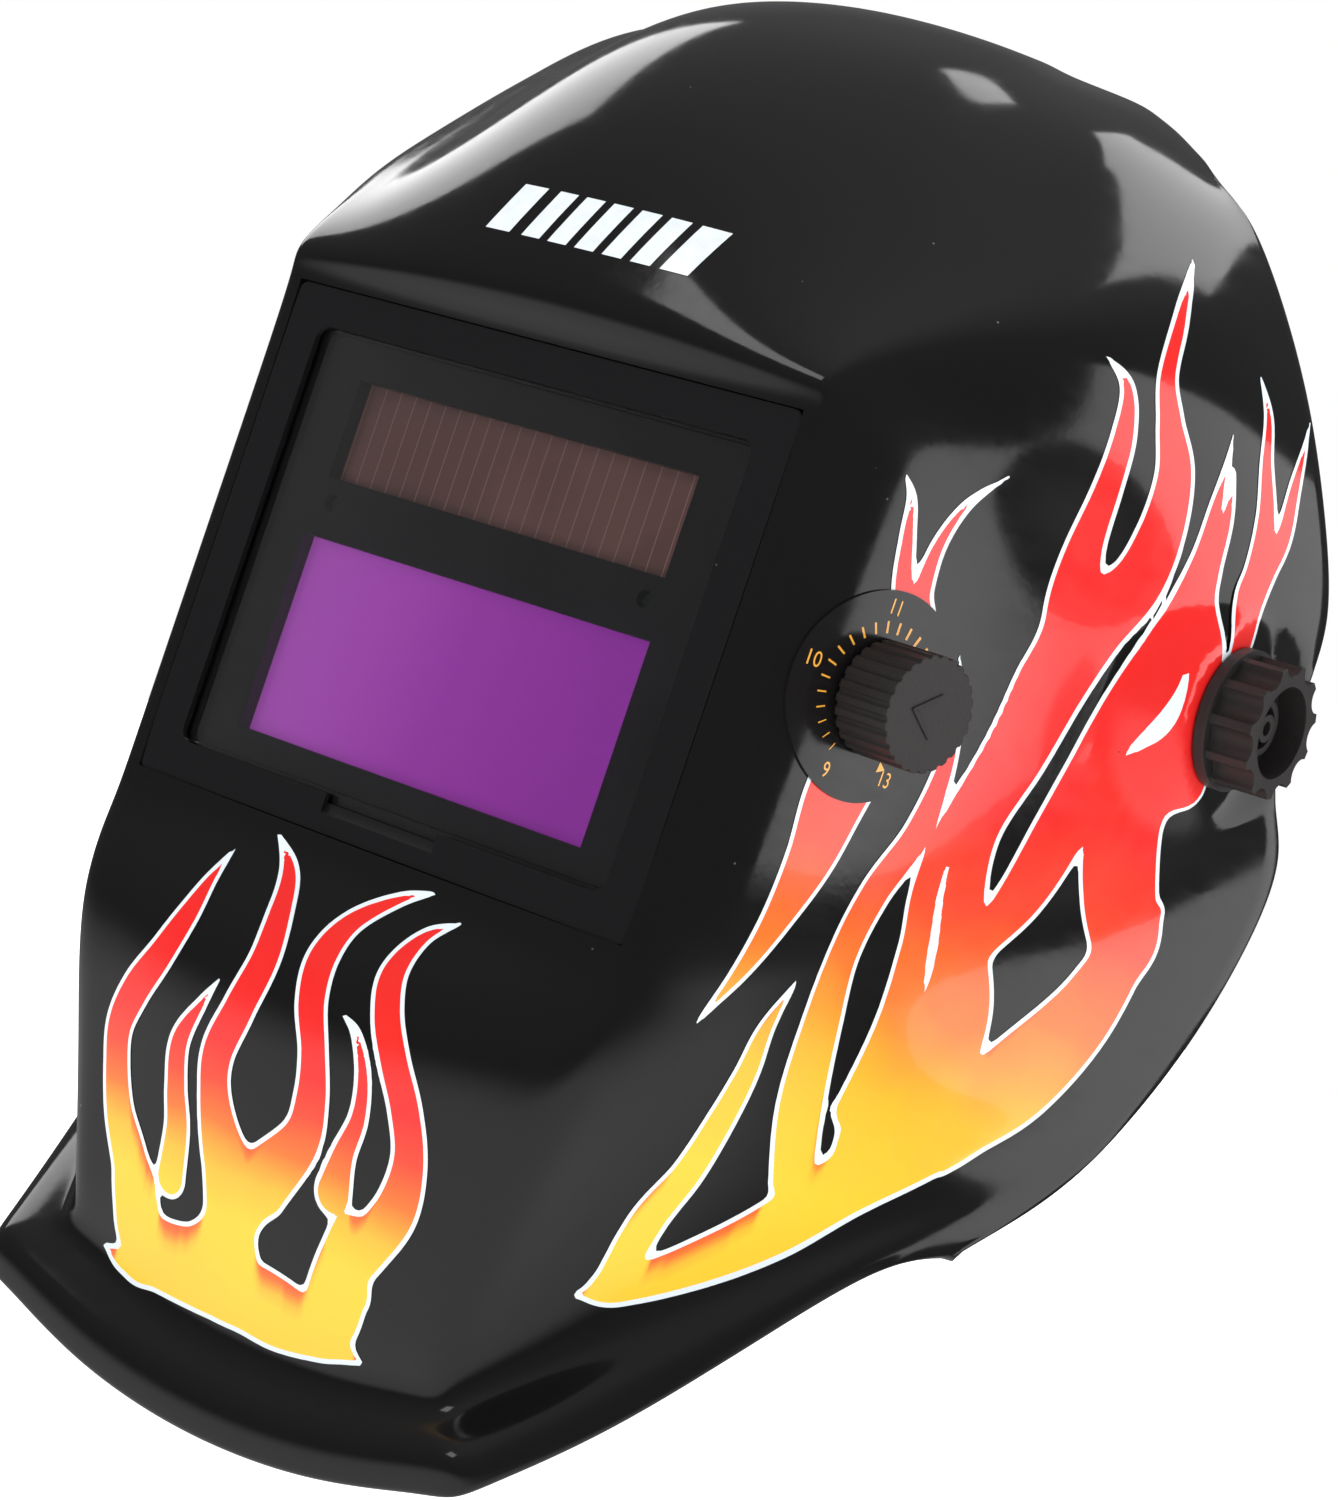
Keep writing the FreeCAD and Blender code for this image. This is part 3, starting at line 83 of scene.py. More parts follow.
# Stations run from the chin lip up over the brow to the top rim, each from the middle of the
# front to the rear edge: softness, then front, corner, cheek, side, rear and rim points, measured
# from the centre of the window as across, back and up.
STATIONS = [
    (8, (0, 3, -175), (66, 4, -162.5), (79, 29, -143), (90, 53, -119), (99, 74, -98), (106, 88, -93)),
    (6, (0, 1, -166), (65, 2, -154.5), (78, 28, -136), (91, 54, -111), (101, 77, -91), (110, 104, -82)),
    (6, (0, 11, -157), (53, 12, -150), (71, 34, -127), (88, 60, -104), (101, 84, -84), (113, 115, -71)),
    (9, (0, 5, -146), (51, 6, -142), (69, 34, -117), (88, 62, -93), (103, 90, -74), (114.5, 124, -60)),
    (11, (0, -6, -112), (60, 0, -110), (72, 33, -90), (90, 63, -70), (106, 98, -54), (117, 136, -40)),
    (12, (0, -13, -82), (68, -6, -82), (77, 26, -66.5), (87, 60, -51), (106, 101, -33), (119, 144, -15)),
    (6, (0, -2, -62), (69, -1, -61), (80, 22, -56), (85.5, 58, -40), (106, 99, -18), (119.5, 146, 6)),
    (3, (0, 0, -54), (69, 0, -54), (81.5, 18, -49), (85, 56, -31), (108, 97, -5), (118, 131, 16)),
    (3, (0, 0, 0), (69, 0, 0), (82, 18, 1.5), (85.5, 56, 5), (111, 97, 12), (118, 132, 32)),
    (3, (0, 0, 50), (69, 0, 50), (82, 18, 46.5), (89, 56, 40), (112, 97, 38), (118, 134, 50)),
    (3, (0, -1, 57), (69, -1, 57), (81, 19, 54), (93, 56, 52), (112, 94, 54), (117.5, 130, 60)),
    (3, (0, -6, 61), (68.5, -2, 60.5), (79, 20, 67), (98, 52, 71), (110, 88, 74), (115.5, 122, 73)),
    (6, (0, 0, 82), (70, 7, 70), (81, 22, 79), (96, 48, 89), (106, 82, 94), (110, 111, 93)),
    (11, (0, 11, 109), (72, 27, 87), (82, 38, 93), (92, 58, 103), (98, 81, 109), (102, 102, 110)),
    (20, (0, 33, 136), (70, 50, 113), (80, 62, 117), (86, 76, 121), (90, 88, 123), (93, 98, 123)),
    (24, (0, 66, 151), (64, 72, 138), (73, 82, 135), (79, 90, 133), (83, 94, 131), (86.5, 96, 129.5)),
    (26, (0, 102, 155), (52, 102, 148), (64, 101, 143), (70, 100, 139.5), (75, 97.5, 137), (79.5, 95, 133.5)),
]

# Flame tongues: each is a spine with its width, drawn from tip to root. Side flames are placed
# by their distance behind and above the tilt pivot, chin flames by across and above it.
SIDE_FLAMES = [
    [(-35, 85, 0.5), (-42, 71, 4.0), (-45, 59, 5.6), (-41.5, 50, 7.4), (-36, 41, 10.0), (-33, 29, 12.1),
     (-33, 18, 13.9), (-38, 7, 16.6), (-41, -6, 16.8), (-42, -22, 13.6), (-44, -38, 10.6), (-42, -51, 10.9),
     (-37, -63, 13.3), (-34, -75, 17.2), (-36, -89, 18.5), (-42, -105, 16.6)],
    [(-60, 57, 0.5), (-54, 53, 3.6), (-51, 44, 6.2), (-49, 33, 7.4), (-47, 21, 9.4), (-44, 11, 12.6),
     (-41, 3, 13.6)],
    [(5, -43, 5.0), (1, -52, 13.5), (-5, -68, 17.5), (-15, -83, 19.8), (-25, -94, 17.8), (-35, -103, 17.5),
     (-45, -114, 14.1), (-56, -127, 11.6), (-68, -138, 9.6), (-79, -146, 7.5), (-85, -149, 2.0)],
    [(0, -50, 18.5), (-7, -40, 19.8), (-12, -31, 19.6), (-14, -20, 16.0), (-13, -9, 12.6), (-14, 3, 10.6),
     (-16, 15, 8.2), (-18, 27, 6.2), (-19, 37, 4.2), (-21, 47, 0.6)],
    [(-6, -16, 12.2), (-5, -4, 9.5), (-5, 9, 9.0), (-5, 19, 9.6), (-5, 30, 9.4), (-8, 41, 6.8),
     (-12, 51, 4.8), (-14, 60, 3.4), (-18, 67, 0.6)],
    [(-5, 26, 8.0), (-1, 37, 6.4), (-1, 49, 4.8), (1, 63, 0.6)],
    [(-9, -20, 8.0), (-9, -10, 8.0), (-9, 0, 7.0), (-10, 8, 3.5)],
    [(-33, -59, 8.8), (-29, -48, 12.6), (-27, -35, 13.4), (-26, -21, 11.6), (-25, -7, 10.0), (-23, 6, 8.8),
     (-21, 16, 7.9), (-21, 27, 6.6), (-23, 40, 4.1), (-24, 53, 0.6)],
    [(-55, -116, 9.5), (-60, -100, 11.0), (-63, -85, 10.6), (-65, -70, 9.3), (-63, -57, 9.0), (-58, -44, 8.2),
     (-57, -30, 5.8), (-59, -18, 3.2), (-64, -7, 0.5)],
    [(-48, -99, 10.2), (-46, -80, 10.4), (-48, -65, 8.4), (-51, -53, 7.9), (-51, -40, 6.4), (-49, -24, 4.2),
     (-48, -5, 0.5)],
    [(-80, -145, 8.0), (-79, -131, 9.0), (-76, -120, 8.1), (-75, -108, 7.6), (-75, -98, 6.7), (-76, -88, 4.8),
     (-74, -77, 0.5)],
    [(-24, -92, 14.4), (-25, -100, 7.6), (-26, -106, 0.5)],
    [(-78, -5, 11.0), (-78, -18, 17.0), (-80, -30, 18.8), (-82, -42, 17.4), (-83, -54, 13.6), (-86, -67, 8.6),
     (-90, -80, 4.6), (-94, -92, 0.6)],
    [(-78, -8, 8.4), (-84, 1, 6.0), (-87, 10, 4.2), (-89, 17, 2.4), (-92, 21, 0.4)],
    [(-77, -8, 7.2), (-79, 2, 5.8), (-79, 11, 4.2), (-76, 20, 2.6), (-70, 28, 0.5)],
]
CHIN_FLAMES = [
    [(-31, -90, 0.4), (-32, -97, 3.6), (-33, -106, 7.0), (-36, -115, 8.5), (-41, -124, 9.5), (-44, -132, 9.2),
     (-43, -140, 9.0), (-40, -149, 10.0), (-35, -157, 12.0), (-30, -166, 13.0)],
    [(-18, -115, 0.4), (-21, -121, 3.2), (-25, -130, 6.3), (-24, -139, 7.0), (-22, -147, 7.9), (-22, -157, 9.0)],
    [(-23, -84, 0.4), (-16, -90, 4.3), (-12, -97, 6.4), (-9, -108, 8.6), (-11, -119, 9.3), (-14, -129, 9.7),
     (-13, -137, 9.8), (-9, -146, 12.8), (-3, -154, 17.8)],
    [(21, -84, 0.4), (13, -88, 3.4), (6, -95, 6.3), (4, -103, 8.4), (6, -112, 8.2), (10, -121, 7.8),
     (12, -130, 9.2), (11, -139, 10.9), (3, -150, 14.6)],
    [(14, -112, 0.4), (19, -115, 2.6), (23, -122, 4.1), (24, -130, 5.1), (22, -138, 6.6), (21, -146, 9.5)],
    [(29, -88, 0.4), (23, -93, 4.1), (21, -101, 7.0), (24, -109, 7.6), (29, -117, 7.9), (34, -125, 8.3),
     (37, -134, 8.6), (36, -144, 10.4), (31, -153, 10.9), (26, -160, 10.9)],
    [(-4, -154, 16.1), (-4, -163, 14.9), (-3, -172, 16.6)],
    [(-40, -177, 0.6), (-33, -178, 6.0), (-22, -176, 11.0), (-10, -174, 15.0), (1, -173, 16.0), (13, -173, 14.0),
     (22, -174, 10.3), (28, -175, 5.6), (33, -176, 0.7)],
    [(-33, -163, 11.0), (-26, -170, 11.0), (-14, -170, 12.0), (-4, -166, 17.0)],
    [(-4, -172, 14.0), (10, -177, 9.0), (24, -172, 11.0), (28, -163, 11.0)],
    [(-32, -162, 13.0), (-31, -170, 13.0), (-28, -176, 11.0)],
    [(27, -154, 12.6), (24, -163, 12.2), (22, -172, 12.0)],
]
BROW_BARS = [(-19, 11.0), (-10, 8.0), (-3, 8.0), (4, 8.0), (11, 8.0), (18, 8.0), (26, 11.0)]


# ------------------------------------------------------------------ small helpers
def mesh_object(name, vertices, faces, smooth=True, sharp=None):
    """New object from points in millimetres."""
    mesh = bpy.data.meshes.new(name)
    mesh.from_pydata([Vector(v) * MM for v in vertices], [], [list(map(int, f)) for f in faces])
    mesh.validate()
    mesh.shade_smooth() if smooth else mesh.shade_flat()
    if sharp:
        mesh.set_sharp_from_angle(angle=math.radians(sharp))
    piece = bpy.data.objects.new(name, mesh)
    bpy.context.scene.collection.objects.link(piece)
    return piece


def give(piece, material):
    piece.data.materials.clear()
    piece.data.materials.append(material)
    return piece


def unit(v):
    return v / np.linalg.norm(v, axis=-1, keepdims=True)


# ------------------------------------------------------------------ the shell's surface
def control_net():
    """Control points of the left half, in the frame's millimetres."""
    net = []
    for softness, *points in STATIONS:
        front, corner, cheek, side, rear, rim = [np.array(p, float) for p in points]
        inward = (front - corner) * min(softness / np.linalg.norm(front - corner), 0.4)
        rearward = (cheek - corner) * min(softness / np.linalg.norm(cheek - corner), 0.5)
        bow = np.array([corner[0] / 2, *(front[1:] * 0.75 + corner[1:] * 0.25)])
        net.append([front, bow, corner + inward, corner, corner + rearward, cheek, side, rear, rim])
    return np.array(net) - [0.0, PIVOT_BACK, PIVOT_RISE]


def with_ends(net):
    """One more row and column beyond each edge, so that the surface ends on the net's edges."""
    wide = np.concatenate([2 * net[:1] - net[1:2], net, 2 * net[-1:] - net[-2:-1]])
    middle = wide[:, 1:2] * [-1, 1, 1]
    return np.concatenate([middle, wide, 2 * wide[:, -1:] - wide[:, -2:-1]], axis=1)


def offset_net(net, distance):
    wide = with_ends(net)
    upward = wide[2:, 1:-1] - wide[:-2, 1:-1]
    backward = wide[1:-1, 2:] - wide[1:-1, :-2]
    return net + unit(np.cross(backward, upward)) * distance


def blending(places, count):
    """Cubic B-spline weights of count control points at each place."""
    weights = np.zeros((len(places), count + 2))
    for k, place in enumerate(places):
        span = min(int(place), count - 2)
        t = place - span
        weights[k, span:span + 4] = np.array([(1 - t) ** 3, 3 * t ** 3 - 6 * t ** 2 + 4,
                                              -3 * t ** 3 + 3 * t ** 2 + 3 * t + 1, t ** 3]) / 6
    return weights


def surface_grid(net, rows, columns):
    """Points of both halves, from the right rim to the left rim."""
    half = np.einsum("ij,jkc,lk->ilc", blending(rows, len(net)), with_ends(net), blending(columns, len(net[0])))
    half[:, 0, 0] = 0.0
    return np.concatenate([half[:, :0:-1] * [-1, 1, 1], half], axis=1)


def snapped(places, values, targets):
    """Places with the nearest ones moved so that values reaches each target there."""
    places = places.copy()
    found = []
    for target in targets:
        place = np.interp(target, values, places)
        index = int(np.argmin(np.abs(places - place)))
        while index in found:
            index += 1
        places[index] = place
        found.append(index)
    return places, found


def shell_grids():
    net = control_net()
    rows = np.linspace(0, len(net) - 1, (len(net) - 1) * ROW_STEPS + 1)
    columns = np.linspace(0, len(net[0]) - 1, (len(net[0]) - 1) * COLUMN_STEPS + 1)
    rough = surface_grid(net, rows, columns)
    middle = len(columns) - 1
    face = slice(int(6 * ROW_STEPS), int(10.5 * ROW_STEPS))
    window_row = 8 * ROW_STEPS
    half_w, half_h = POCKET_HALF
    heights = [-half_h - FLANGE_OUT, -half_h, half_h, half_h + FLANGE_OUT]
    rows_in_face, row_marks = snapped(rows[face], rough[face, middle, 2] + PIVOT_RISE, heights)
    rows[face] = rows_in_face
    row_marks = [face.start + mark for mark in row_marks]
    flat = slice(0, 4 * COLUMN_STEPS)
    across = rough[window_row, middle:, 0]
    columns_in_face, column_marks = snapped(columns[flat], across[flat], [half_w, half_w + FLANGE_OUT])
    columns[flat] = columns_in_face
    outer = surface_grid(net, rows, columns)
    inner = surface_grid(offset_net(net, -SHELL_WALL), rows, columns)
    wall = inner - outer
    for corner in (np.s_[-26:, :26], np.s_[-26:, -26:]):
        patch = wall[corner]
        inner[corner] = outer[corner] + patch[0, 25 if corner[1].stop == 26 else 0]
    outer_hole = (row_marks[1], row_marks[2], middle - column_marks[0], middle + column_marks[0])
    inner_hole = (row_marks[0], row_marks[3], middle - column_marks[1], middle + column_marks[1])
    return outer, inner, outer_hole, inner_hole


def seat_knobs(outer):
    """Press the wall flat under each tension knob."""
    radius = np.hypot(outer[..., 1], outer[..., 2])
    share = np.clip((SEAT_RADIUS + SEAT_BLEND - radius) / SEAT_BLEND, 0, 1)
    share = share * share * (3 - 2 * share) * (np.abs(outer[..., 0]) > 80)
    outer[..., 0] += share * (np.sign(outer[..., 0]) * PIVOT_SEAT - outer[..., 0])


def grid_faces(shape, start, hole, flip):
    rows, columns = shape[:2]
    faces = []
    low, high, left, right = hole
    for i in range(rows - 1):
        for j in range(columns - 1):
            if low <= i < high and left <= j < right:
                continue
            a = start + i * columns + j
            quad = (a, a + 1, a + columns + 1, a + columns)
            faces.append(quad[::-1] if flip else quad)
    return faces


def border_indices(low, high, left, right):
    """Grid places round a rectangle, once."""
    bottom = [(low, j) for j in range(left, right)]
    up = [(i, right) for i in range(low, high)]
    top = [(high, j) for j in range(right, left, -1)]
    down = [(i, left) for i in range(high, low, -1)]
    return bottom + up + top + down


def make_shell():
    """The moulded shell: skin, rolled rim, window pocket with its flange, and the bosses."""
    outer, inner, outer_hole, inner_hole = shell_grids()
    seat_knobs(outer)
    rows, columns = outer.shape[:2]
    vertices = [*outer.reshape(-1, 3), *inner.reshape(-1, 3)]
    inner_start = rows * columns
    faces = grid_faces(outer.shape, 0, outer_hole, False)
    faces += grid_faces(inner.shape, inner_start, inner_hole, True)

    border = border_indices(0, rows - 1, 0, columns - 1)
    rings = [[i * columns + j for i, j in border]]
    steps = 6
    for step in range(1, steps):
        angle = math.pi * step / steps
        ring = []
        for i, j in border:
            inside_i = min(max(i, 1), rows - 2)
            inside_j = min(max(j, 1), columns - 2)
            out = unit(outer[i, j] - outer[inside_i, inside_j])
            middle = (outer[i, j] + inner[i, j]) / 2
            half = (outer[i, j] - inner[i, j]) / 2
            ring.append(len(vertices))
            vertices.append(middle + half * math.cos(angle) + out * LIP_ROUND * math.sin(angle))
        rings.append(ring)
    rings.append([inner_start + i * columns + j for i, j in border])
    faces += stitched(rings)

    for start, grid, hole in ((0, outer, outer_hole), (inner_start, inner, inner_hole)):
        edge = border_indices(*hole)
        back = []
        for i, j in edge:
            back.append(len(vertices))
            vertices.append(np.array([grid[i, j, 0], FLANGE_DEPTHS[1] - PIVOT_BACK, grid[i, j, 2]]))
        pair = [[start + i * columns + j for i, j in edge], back]
        faces += stitched(pair if start else pair[::-1])
    skin_count = len(faces)
    add_pocket_flange(vertices, faces)
    for side in (1, -1):
        add_tube(vertices, faces, (side * BOSS_INSIDE, 0, 0), (side, 0, 0), SEAT_RADIUS, 4.1, 6.0)
        for up in (1, -1):
            across, rise, radius, depth = SCREW_BOSS
            add_tube(vertices, faces, (side * across, FLANGE_DEPTHS[0] - PIVOT_BACK, up * rise - PIVOT_RISE),
                     (0, 1, 0), radius, 1.2, depth - FLANGE_DEPTHS[0])
    shell = mesh_object("shell_skin", vertices, faces, sharp=48)
    shell.data.materials.append(SHELL_GLOSS)
    shell.data.materials.append(SHELL_INSIDE)
    inside = np.zeros(len(shell.data.polygons), np.int32)
    outer_faces = len(grid_faces(outer.shape, 0, outer_hole, False))
    inner_faces = len(grid_faces(inner.shape, 0, inner_hole, False))
    inside[outer_faces:outer_faces + inner_faces] = 1
    inside[skin_count:] = 1
    shell.data.polygons.foreach_set("material_index", inside)
    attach(shell, "helmet_shell")
    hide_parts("shell")
    return shell, outer, outer_hole


def stitched(rings):
    """Quads between closed rings of the same length."""
    faces = []
    count = len(rings[0])
    for first, second in zip(rings, rings[1:]):
        for k in range(count):
            following = (k + 1) % count
            faces.append((first[following], first[k], second[k], second[following]))
    return faces


def add_pocket_flange(vertices, faces):
    """Rectangular frame that the bezel and the cartridge bear on."""
    loops = []
    for depth in FLANGE_DEPTHS:
        for half_w, half_h in ((POCKET_HALF[0] + FLANGE_OUT, POCKET_HALF[1] + FLANGE_OUT), OPENING_HALF):
            loop = []
            for sx, sz in ((-1, -1), (1, -1), (1, 1), (-1, 1)):
                loop.append(len(vertices))
                vertices.append(np.array([sx * half_w, depth - PIVOT_BACK, sz * half_h - PIVOT_RISE]))
            loops.append(loop)
    front_out, front_in, back_out, back_in = loops
    faces += stitched([front_in, front_out, back_out, back_in, front_in])


def add_tube(vertices, faces, start, direction, radius, bore, length, sides=48):
    """Round boss with a hole."""
    start = np.array(start, float)
    direction = np.array(direction, float)
    helper = np.array([0.0, 0.0, 1.0])
    first = unit(np.cross(direction, helper))
    second = np.cross(direction, first)
    rings = []
    for size, reach in ((bore, 0.0), (radius, 0.0), (radius, length), (bore, length)):
        ring = []
        for k in range(sides):
            angle = 2 * math.pi * k / sides
            ring.append(len(vertices))
            vertices.append(start + direction * reach
                            + (first * math.cos(angle) + second * math.sin(angle)) * size)
        rings.append(ring)
    faces += stitched(rings + [rings[0]])


# ------------------------------------------------------------------ material helpers
class Paint:
    """A node material built up step by step."""

    def __init__(self, name, **constants):
        self.material = bpy.data.materials.new(name)
        self.material.use_nodes = True
        self.nodes = self.material.node_tree.nodes
        self.links = self.material.node_tree.links
        self.shader = self.nodes["Principled BSDF"]
        self.place = self.nodes.new("ShaderNodeTexCoord").outputs["Object"]
        for socket, value in constants.items():
            self.shader.inputs[socket.replace("_", " ")].default_value = value

    def node(self, kind, **settings):
        made = self.nodes.new(kind)
        for key, value in settings.items():
            setattr(made, key, value)
        return made

    def link(self, output, target):
        self.links.new(output, target)

    def noise(self, scale, detail=3.0, roughness=0.5, stretch=None):
        texture = self.node("ShaderNodeTexNoise")
        texture.inputs["Scale"].default_value = scale
        texture.inputs["Detail"].default_value = detail
        texture.inputs["Roughness"].default_value = roughness
        source = self.place
        if stretch:
            mapping = self.node("ShaderNodeMapping")
            mapping.inputs["Scale"].default_value = stretch
            self.link(source, mapping.inputs["Vector"])
            source = mapping.outputs["Vector"]
        self.link(source, texture.inputs["Vector"])
        return texture.outputs["Fac"]

    def ramp(self, factor, stops, interpolation="LINEAR"):
        ramp = self.node("ShaderNodeValToRGB")
        ramp.color_ramp.interpolation = interpolation
        elements = ramp.color_ramp.elements
        while len(elements) < len(stops):
            elements.new(0.5)
        for element, (position, colour) in zip(elements, stops):
            element.position = position
            element.color = (*colour, 1.0) if len(colour) == 3 else colour
        self.link(factor, ramp.inputs["Fac"])
        return ramp.outputs["Color"]

    def grey(self, factor, low, high, start=0.3, end=0.7):
        """Map a factor to a number between low and high."""
        remap = self.node("ShaderNodeMapRange")
        remap.inputs["From Min"].default_value = start
        remap.inputs["From Max"].default_value = end
        remap.inputs["To Min"].default_value = low
        remap.inputs["To Max"].default_value = high
        self.link(factor, remap.inputs["Value"])
        return remap.outputs["Result"]

    def math(self, operation, first, second):
        made = self.node("ShaderNodeMath", operation=operation)
        for value, socket in zip((first, second), made.inputs):
            if isinstance(value, (int, float)):
                socket.default_value = value
            else:
                self.link(value, socket)
        return made.outputs["Value"]

    def axis(self, name):
        split = self.node("ShaderNodeSeparateXYZ")
        self.link(self.place, split.inputs["Vector"])
        return split.outputs[name]

    def bump(self, height, strength, distance, soften=None):
        bump = self.node("ShaderNodeBump")
        bump.inputs["Strength"].default_value = strength
        bump.inputs["Distance"].default_value = distance
        self.link(height, bump.inputs["Height"])
        if soften:
            bevel = self.node("ShaderNodeBevel", samples=6)
            bevel.inputs["Radius"].default_value = soften
            self.link(bevel.outputs["Normal"], bump.inputs["Normal"])
        self.link(bump.outputs["Normal"], self.shader.inputs["Normal"])
        return self

    def colour(self, output):
        self.link(output, self.shader.inputs["Base Color"])
        return self

    def rough(self, output):
        self.link(output, self.shader.inputs["Roughness"])
        return self


def tinted(base, amount):
    return tuple(min(1.0, c * amount) for c in base)


def gloss_plastic(name, base, roughness=0.12, coat=0.0):
    """Polished moulding: faint flow waves, fine scratches, a little dust."""
    paint = Paint(name, IOR=1.5)
    if coat:
        paint.shader.inputs["Coat Weight"].default_value = coat
        paint.shader.inputs["Coat Roughness"].default_value = 0.03
    dust = paint.node("ShaderNodeTexVoronoi")
    dust.inputs["Scale"].default_value = 90.0
    paint.link(paint.place, dust.inputs["Vector"])
    specks = paint.ramp(dust.outputs["Distance"], [(0.0, (0.35, 0.34, 0.33)), (0.028, tinted(base, 1.0))])
    mixed = paint.node("ShaderNodeMix", data_type="RGBA")
    paint.link(paint.noise(9.0, 5.0), mixed.inputs["Factor"])
    mixed.inputs["A"].default_value = (*tinted(base, 0.85), 1.0)
    paint.link(specks, mixed.inputs["B"])
    paint.colour(mixed.outputs["Result"])
    scratches = paint.noise(300.0, 2.0, 0.6, stretch=(1.0, 0.08, 1.0))
    paint.rough(paint.grey(scratches, roughness * 0.8, roughness * 1.25))
    waves = paint.math("ADD", paint.noise(22.0, 1.0), paint.math("MULTIPLY", paint.noise(600.0, 1.0), 0.02))
    paint.bump(waves, 0.22, 0.0011)
    return paint.material


def matte_plastic(name, base, roughness=0.5, grain=1800.0, soften=0.0003):
    """Spark-eroded moulding with softened edges that shine a little."""
    paint = Paint(name, IOR=1.46)
    fine = paint.noise(grain, 3.0, 0.6)
    broad = paint.noise(35.0, 4.0)
    blend = paint.math("ADD", paint.math("MULTIPLY", fine, 0.4), paint.math("MULTIPLY", broad, 0.6))
    paint.colour(paint.ramp(blend, [(0.3, tinted(base, 0.7)), (0.7, tinted(base, 1.5))]))
    paint.rough(paint.grey(broad, roughness - 0.07, roughness + 0.09))
    paint.bump(fine, 0.35, 0.00012, soften)
    return paint.material


def metal(name, base, roughness=0.28):
    paint = Paint(name, Metallic=1.0)
    brushed = paint.noise(700.0, 4.0, 0.6, stretch=(1.0, 1.0, 0.05))
    paint.colour(paint.ramp(brushed, [(0.3, tinted(base, 0.75)), (0.7, tinted(base, 1.15))]))
    paint.rough(paint.grey(brushed, roughness - 0.08, roughness + 0.14))
    paint.bump(brushed, 0.2, 0.00008, 0.0002)
    return paint.material


def woven(name, base, pitch=0.0009):
    """Brushed towelling: crossed threads, fuzz and soft sheen, with painted shade in the weave's low places and a
    painted highlight on its tops.
    """
    paint = Paint(name, Roughness=0.92)
    paint.shader.inputs["Sheen Weight"].default_value = 0.6
    paint.shader.inputs["Sheen Roughness"].default_value = 0.5
    threads = []
    for direction in ("X", "Z", "Y"):
        wave = paint.node("ShaderNodeTexWave", bands_direction=direction)
        wave.inputs["Scale"].default_value = 1.0 / (pitch * 3.2)
        wave.inputs["Distortion"].default_value = 1.2
        wave.inputs["Detail Scale"].default_value = 3.0
        paint.link(paint.place, wave.inputs["Vector"])
        threads.append(wave.outputs["Fac"])
    weave = paint.math("MULTIPLY", paint.math("ADD", threads[0], threads[2]), threads[1])
    fuzz = paint.noise(900.0, 5.0, 0.7)
    height = paint.math("ADD", weave, fuzz)
    # Painted shade and highlight: thread colour darkens in the weave's low places and brightens sharply on its tops.
    paint.colour(paint.ramp(height, [(0.3, tinted(base, 0.45)), (0.9, tinted(base, 1.2)), (1.0, tinted(base, 1.8))]))
    paint.bump(height, 0.8, 0.0004)
    return paint.material


def clear_sheet(name, tint, gloss=0.06):
    """Thin clear polycarbonate: seen through, with a surface reflection."""
    paint = Paint(name)
    out = paint.nodes["Material Output"]
    through = paint.node("ShaderNodeBsdfTransparent")
    through.inputs["Color"].default_value = (*tint, 1.0)
    shine = paint.node("ShaderNodeBsdfGlossy")
    paint.link(paint.grey(paint.noise(40.0, 4.0), gloss * 0.5, gloss), shine.inputs["Roughness"])
    fresnel = paint.node("ShaderNodeFresnel")
    fresnel.inputs["IOR"].default_value = 1.5
    mix = paint.node("ShaderNodeMixShader")
    paint.link(fresnel.outputs["Fac"], mix.inputs["Fac"])
    paint.link(through.outputs["BSDF"], mix.inputs[1])
    paint.link(shine.outputs["BSDF"], mix.inputs[2])
    paint.link(mix.outputs["Shader"], out.inputs["Surface"])
    paint.nodes.remove(paint.shader)
    return paint.material


def filter_glass():
    """Coated ultraviolet and infrared filter, purple in reflection; its left-to-right colour slide is a painted
    reflection and its emission a painted glow.
    """
    paint = Paint("filter_glass", IOR=1.5)
    paint.shader.inputs["Coat Weight"].default_value = 0.3
    paint.shader.inputs["Coat Roughness"].default_value = 0.02
    # Painted reflection: the purple runs lighter on the left to darker on the right, standing in for the coating's
    # changing reflection.
    painted_reflection_slide = paint.grey(paint.axis("X"), 0.0, 1.0, -0.046, 0.046)
    streak = paint.math("ADD", painted_reflection_slide, paint.math("MULTIPLY", paint.noise(12.0, 2.0), 0.25))
    stops = [(0.1, (0.43, 0.085, 0.50)), (0.6, (0.30, 0.035, 0.36)), (1.1, (0.24, 0.022, 0.30))]
    tint = paint.ramp(streak, [(min(1.0, p), c) for p, c in stops])
    paint.colour(tint)
    # Painted glow: the filter emits its own purple light, standing in for its mirror-like reflection.
    paint.link(tint, paint.shader.inputs["Emission Color"])
    paint.shader.inputs["Emission Strength"].default_value = 0.55
    paint.rough(paint.grey(paint.noise(70.0, 3.0), 0.16, 0.24))
    return paint.material


def solar_glass():
    """Solar strip: thin vertical cell lines under brown glass."""
    paint = Paint("solar_glass", IOR=1.5, Roughness=0.2)
    paint.shader.inputs["Coat Weight"].default_value = 0.5
    paint.shader.inputs["Coat Roughness"].default_value = 0.05
    cells = paint.math("FRACT", paint.math("DIVIDE", paint.math("ADD", paint.axis("X"), 1.0), 0.00405), 0.0)
    line = paint.math("LESS_THAN", cells, 0.07)
    base = paint.ramp(paint.noise(45.0, 5.0), [(0.3, (0.17, 0.085, 0.072)), (0.7, (0.23, 0.115, 0.098))])
    mix = paint.node("ShaderNodeMix", data_type="RGBA")
    paint.link(line, mix.inputs["Factor"])
    paint.link(base, mix.inputs["A"])
    mix.inputs["B"].default_value = (0.36, 0.19, 0.16, 1.0)
    paint.colour(mix.outputs["Result"])
    return paint.material


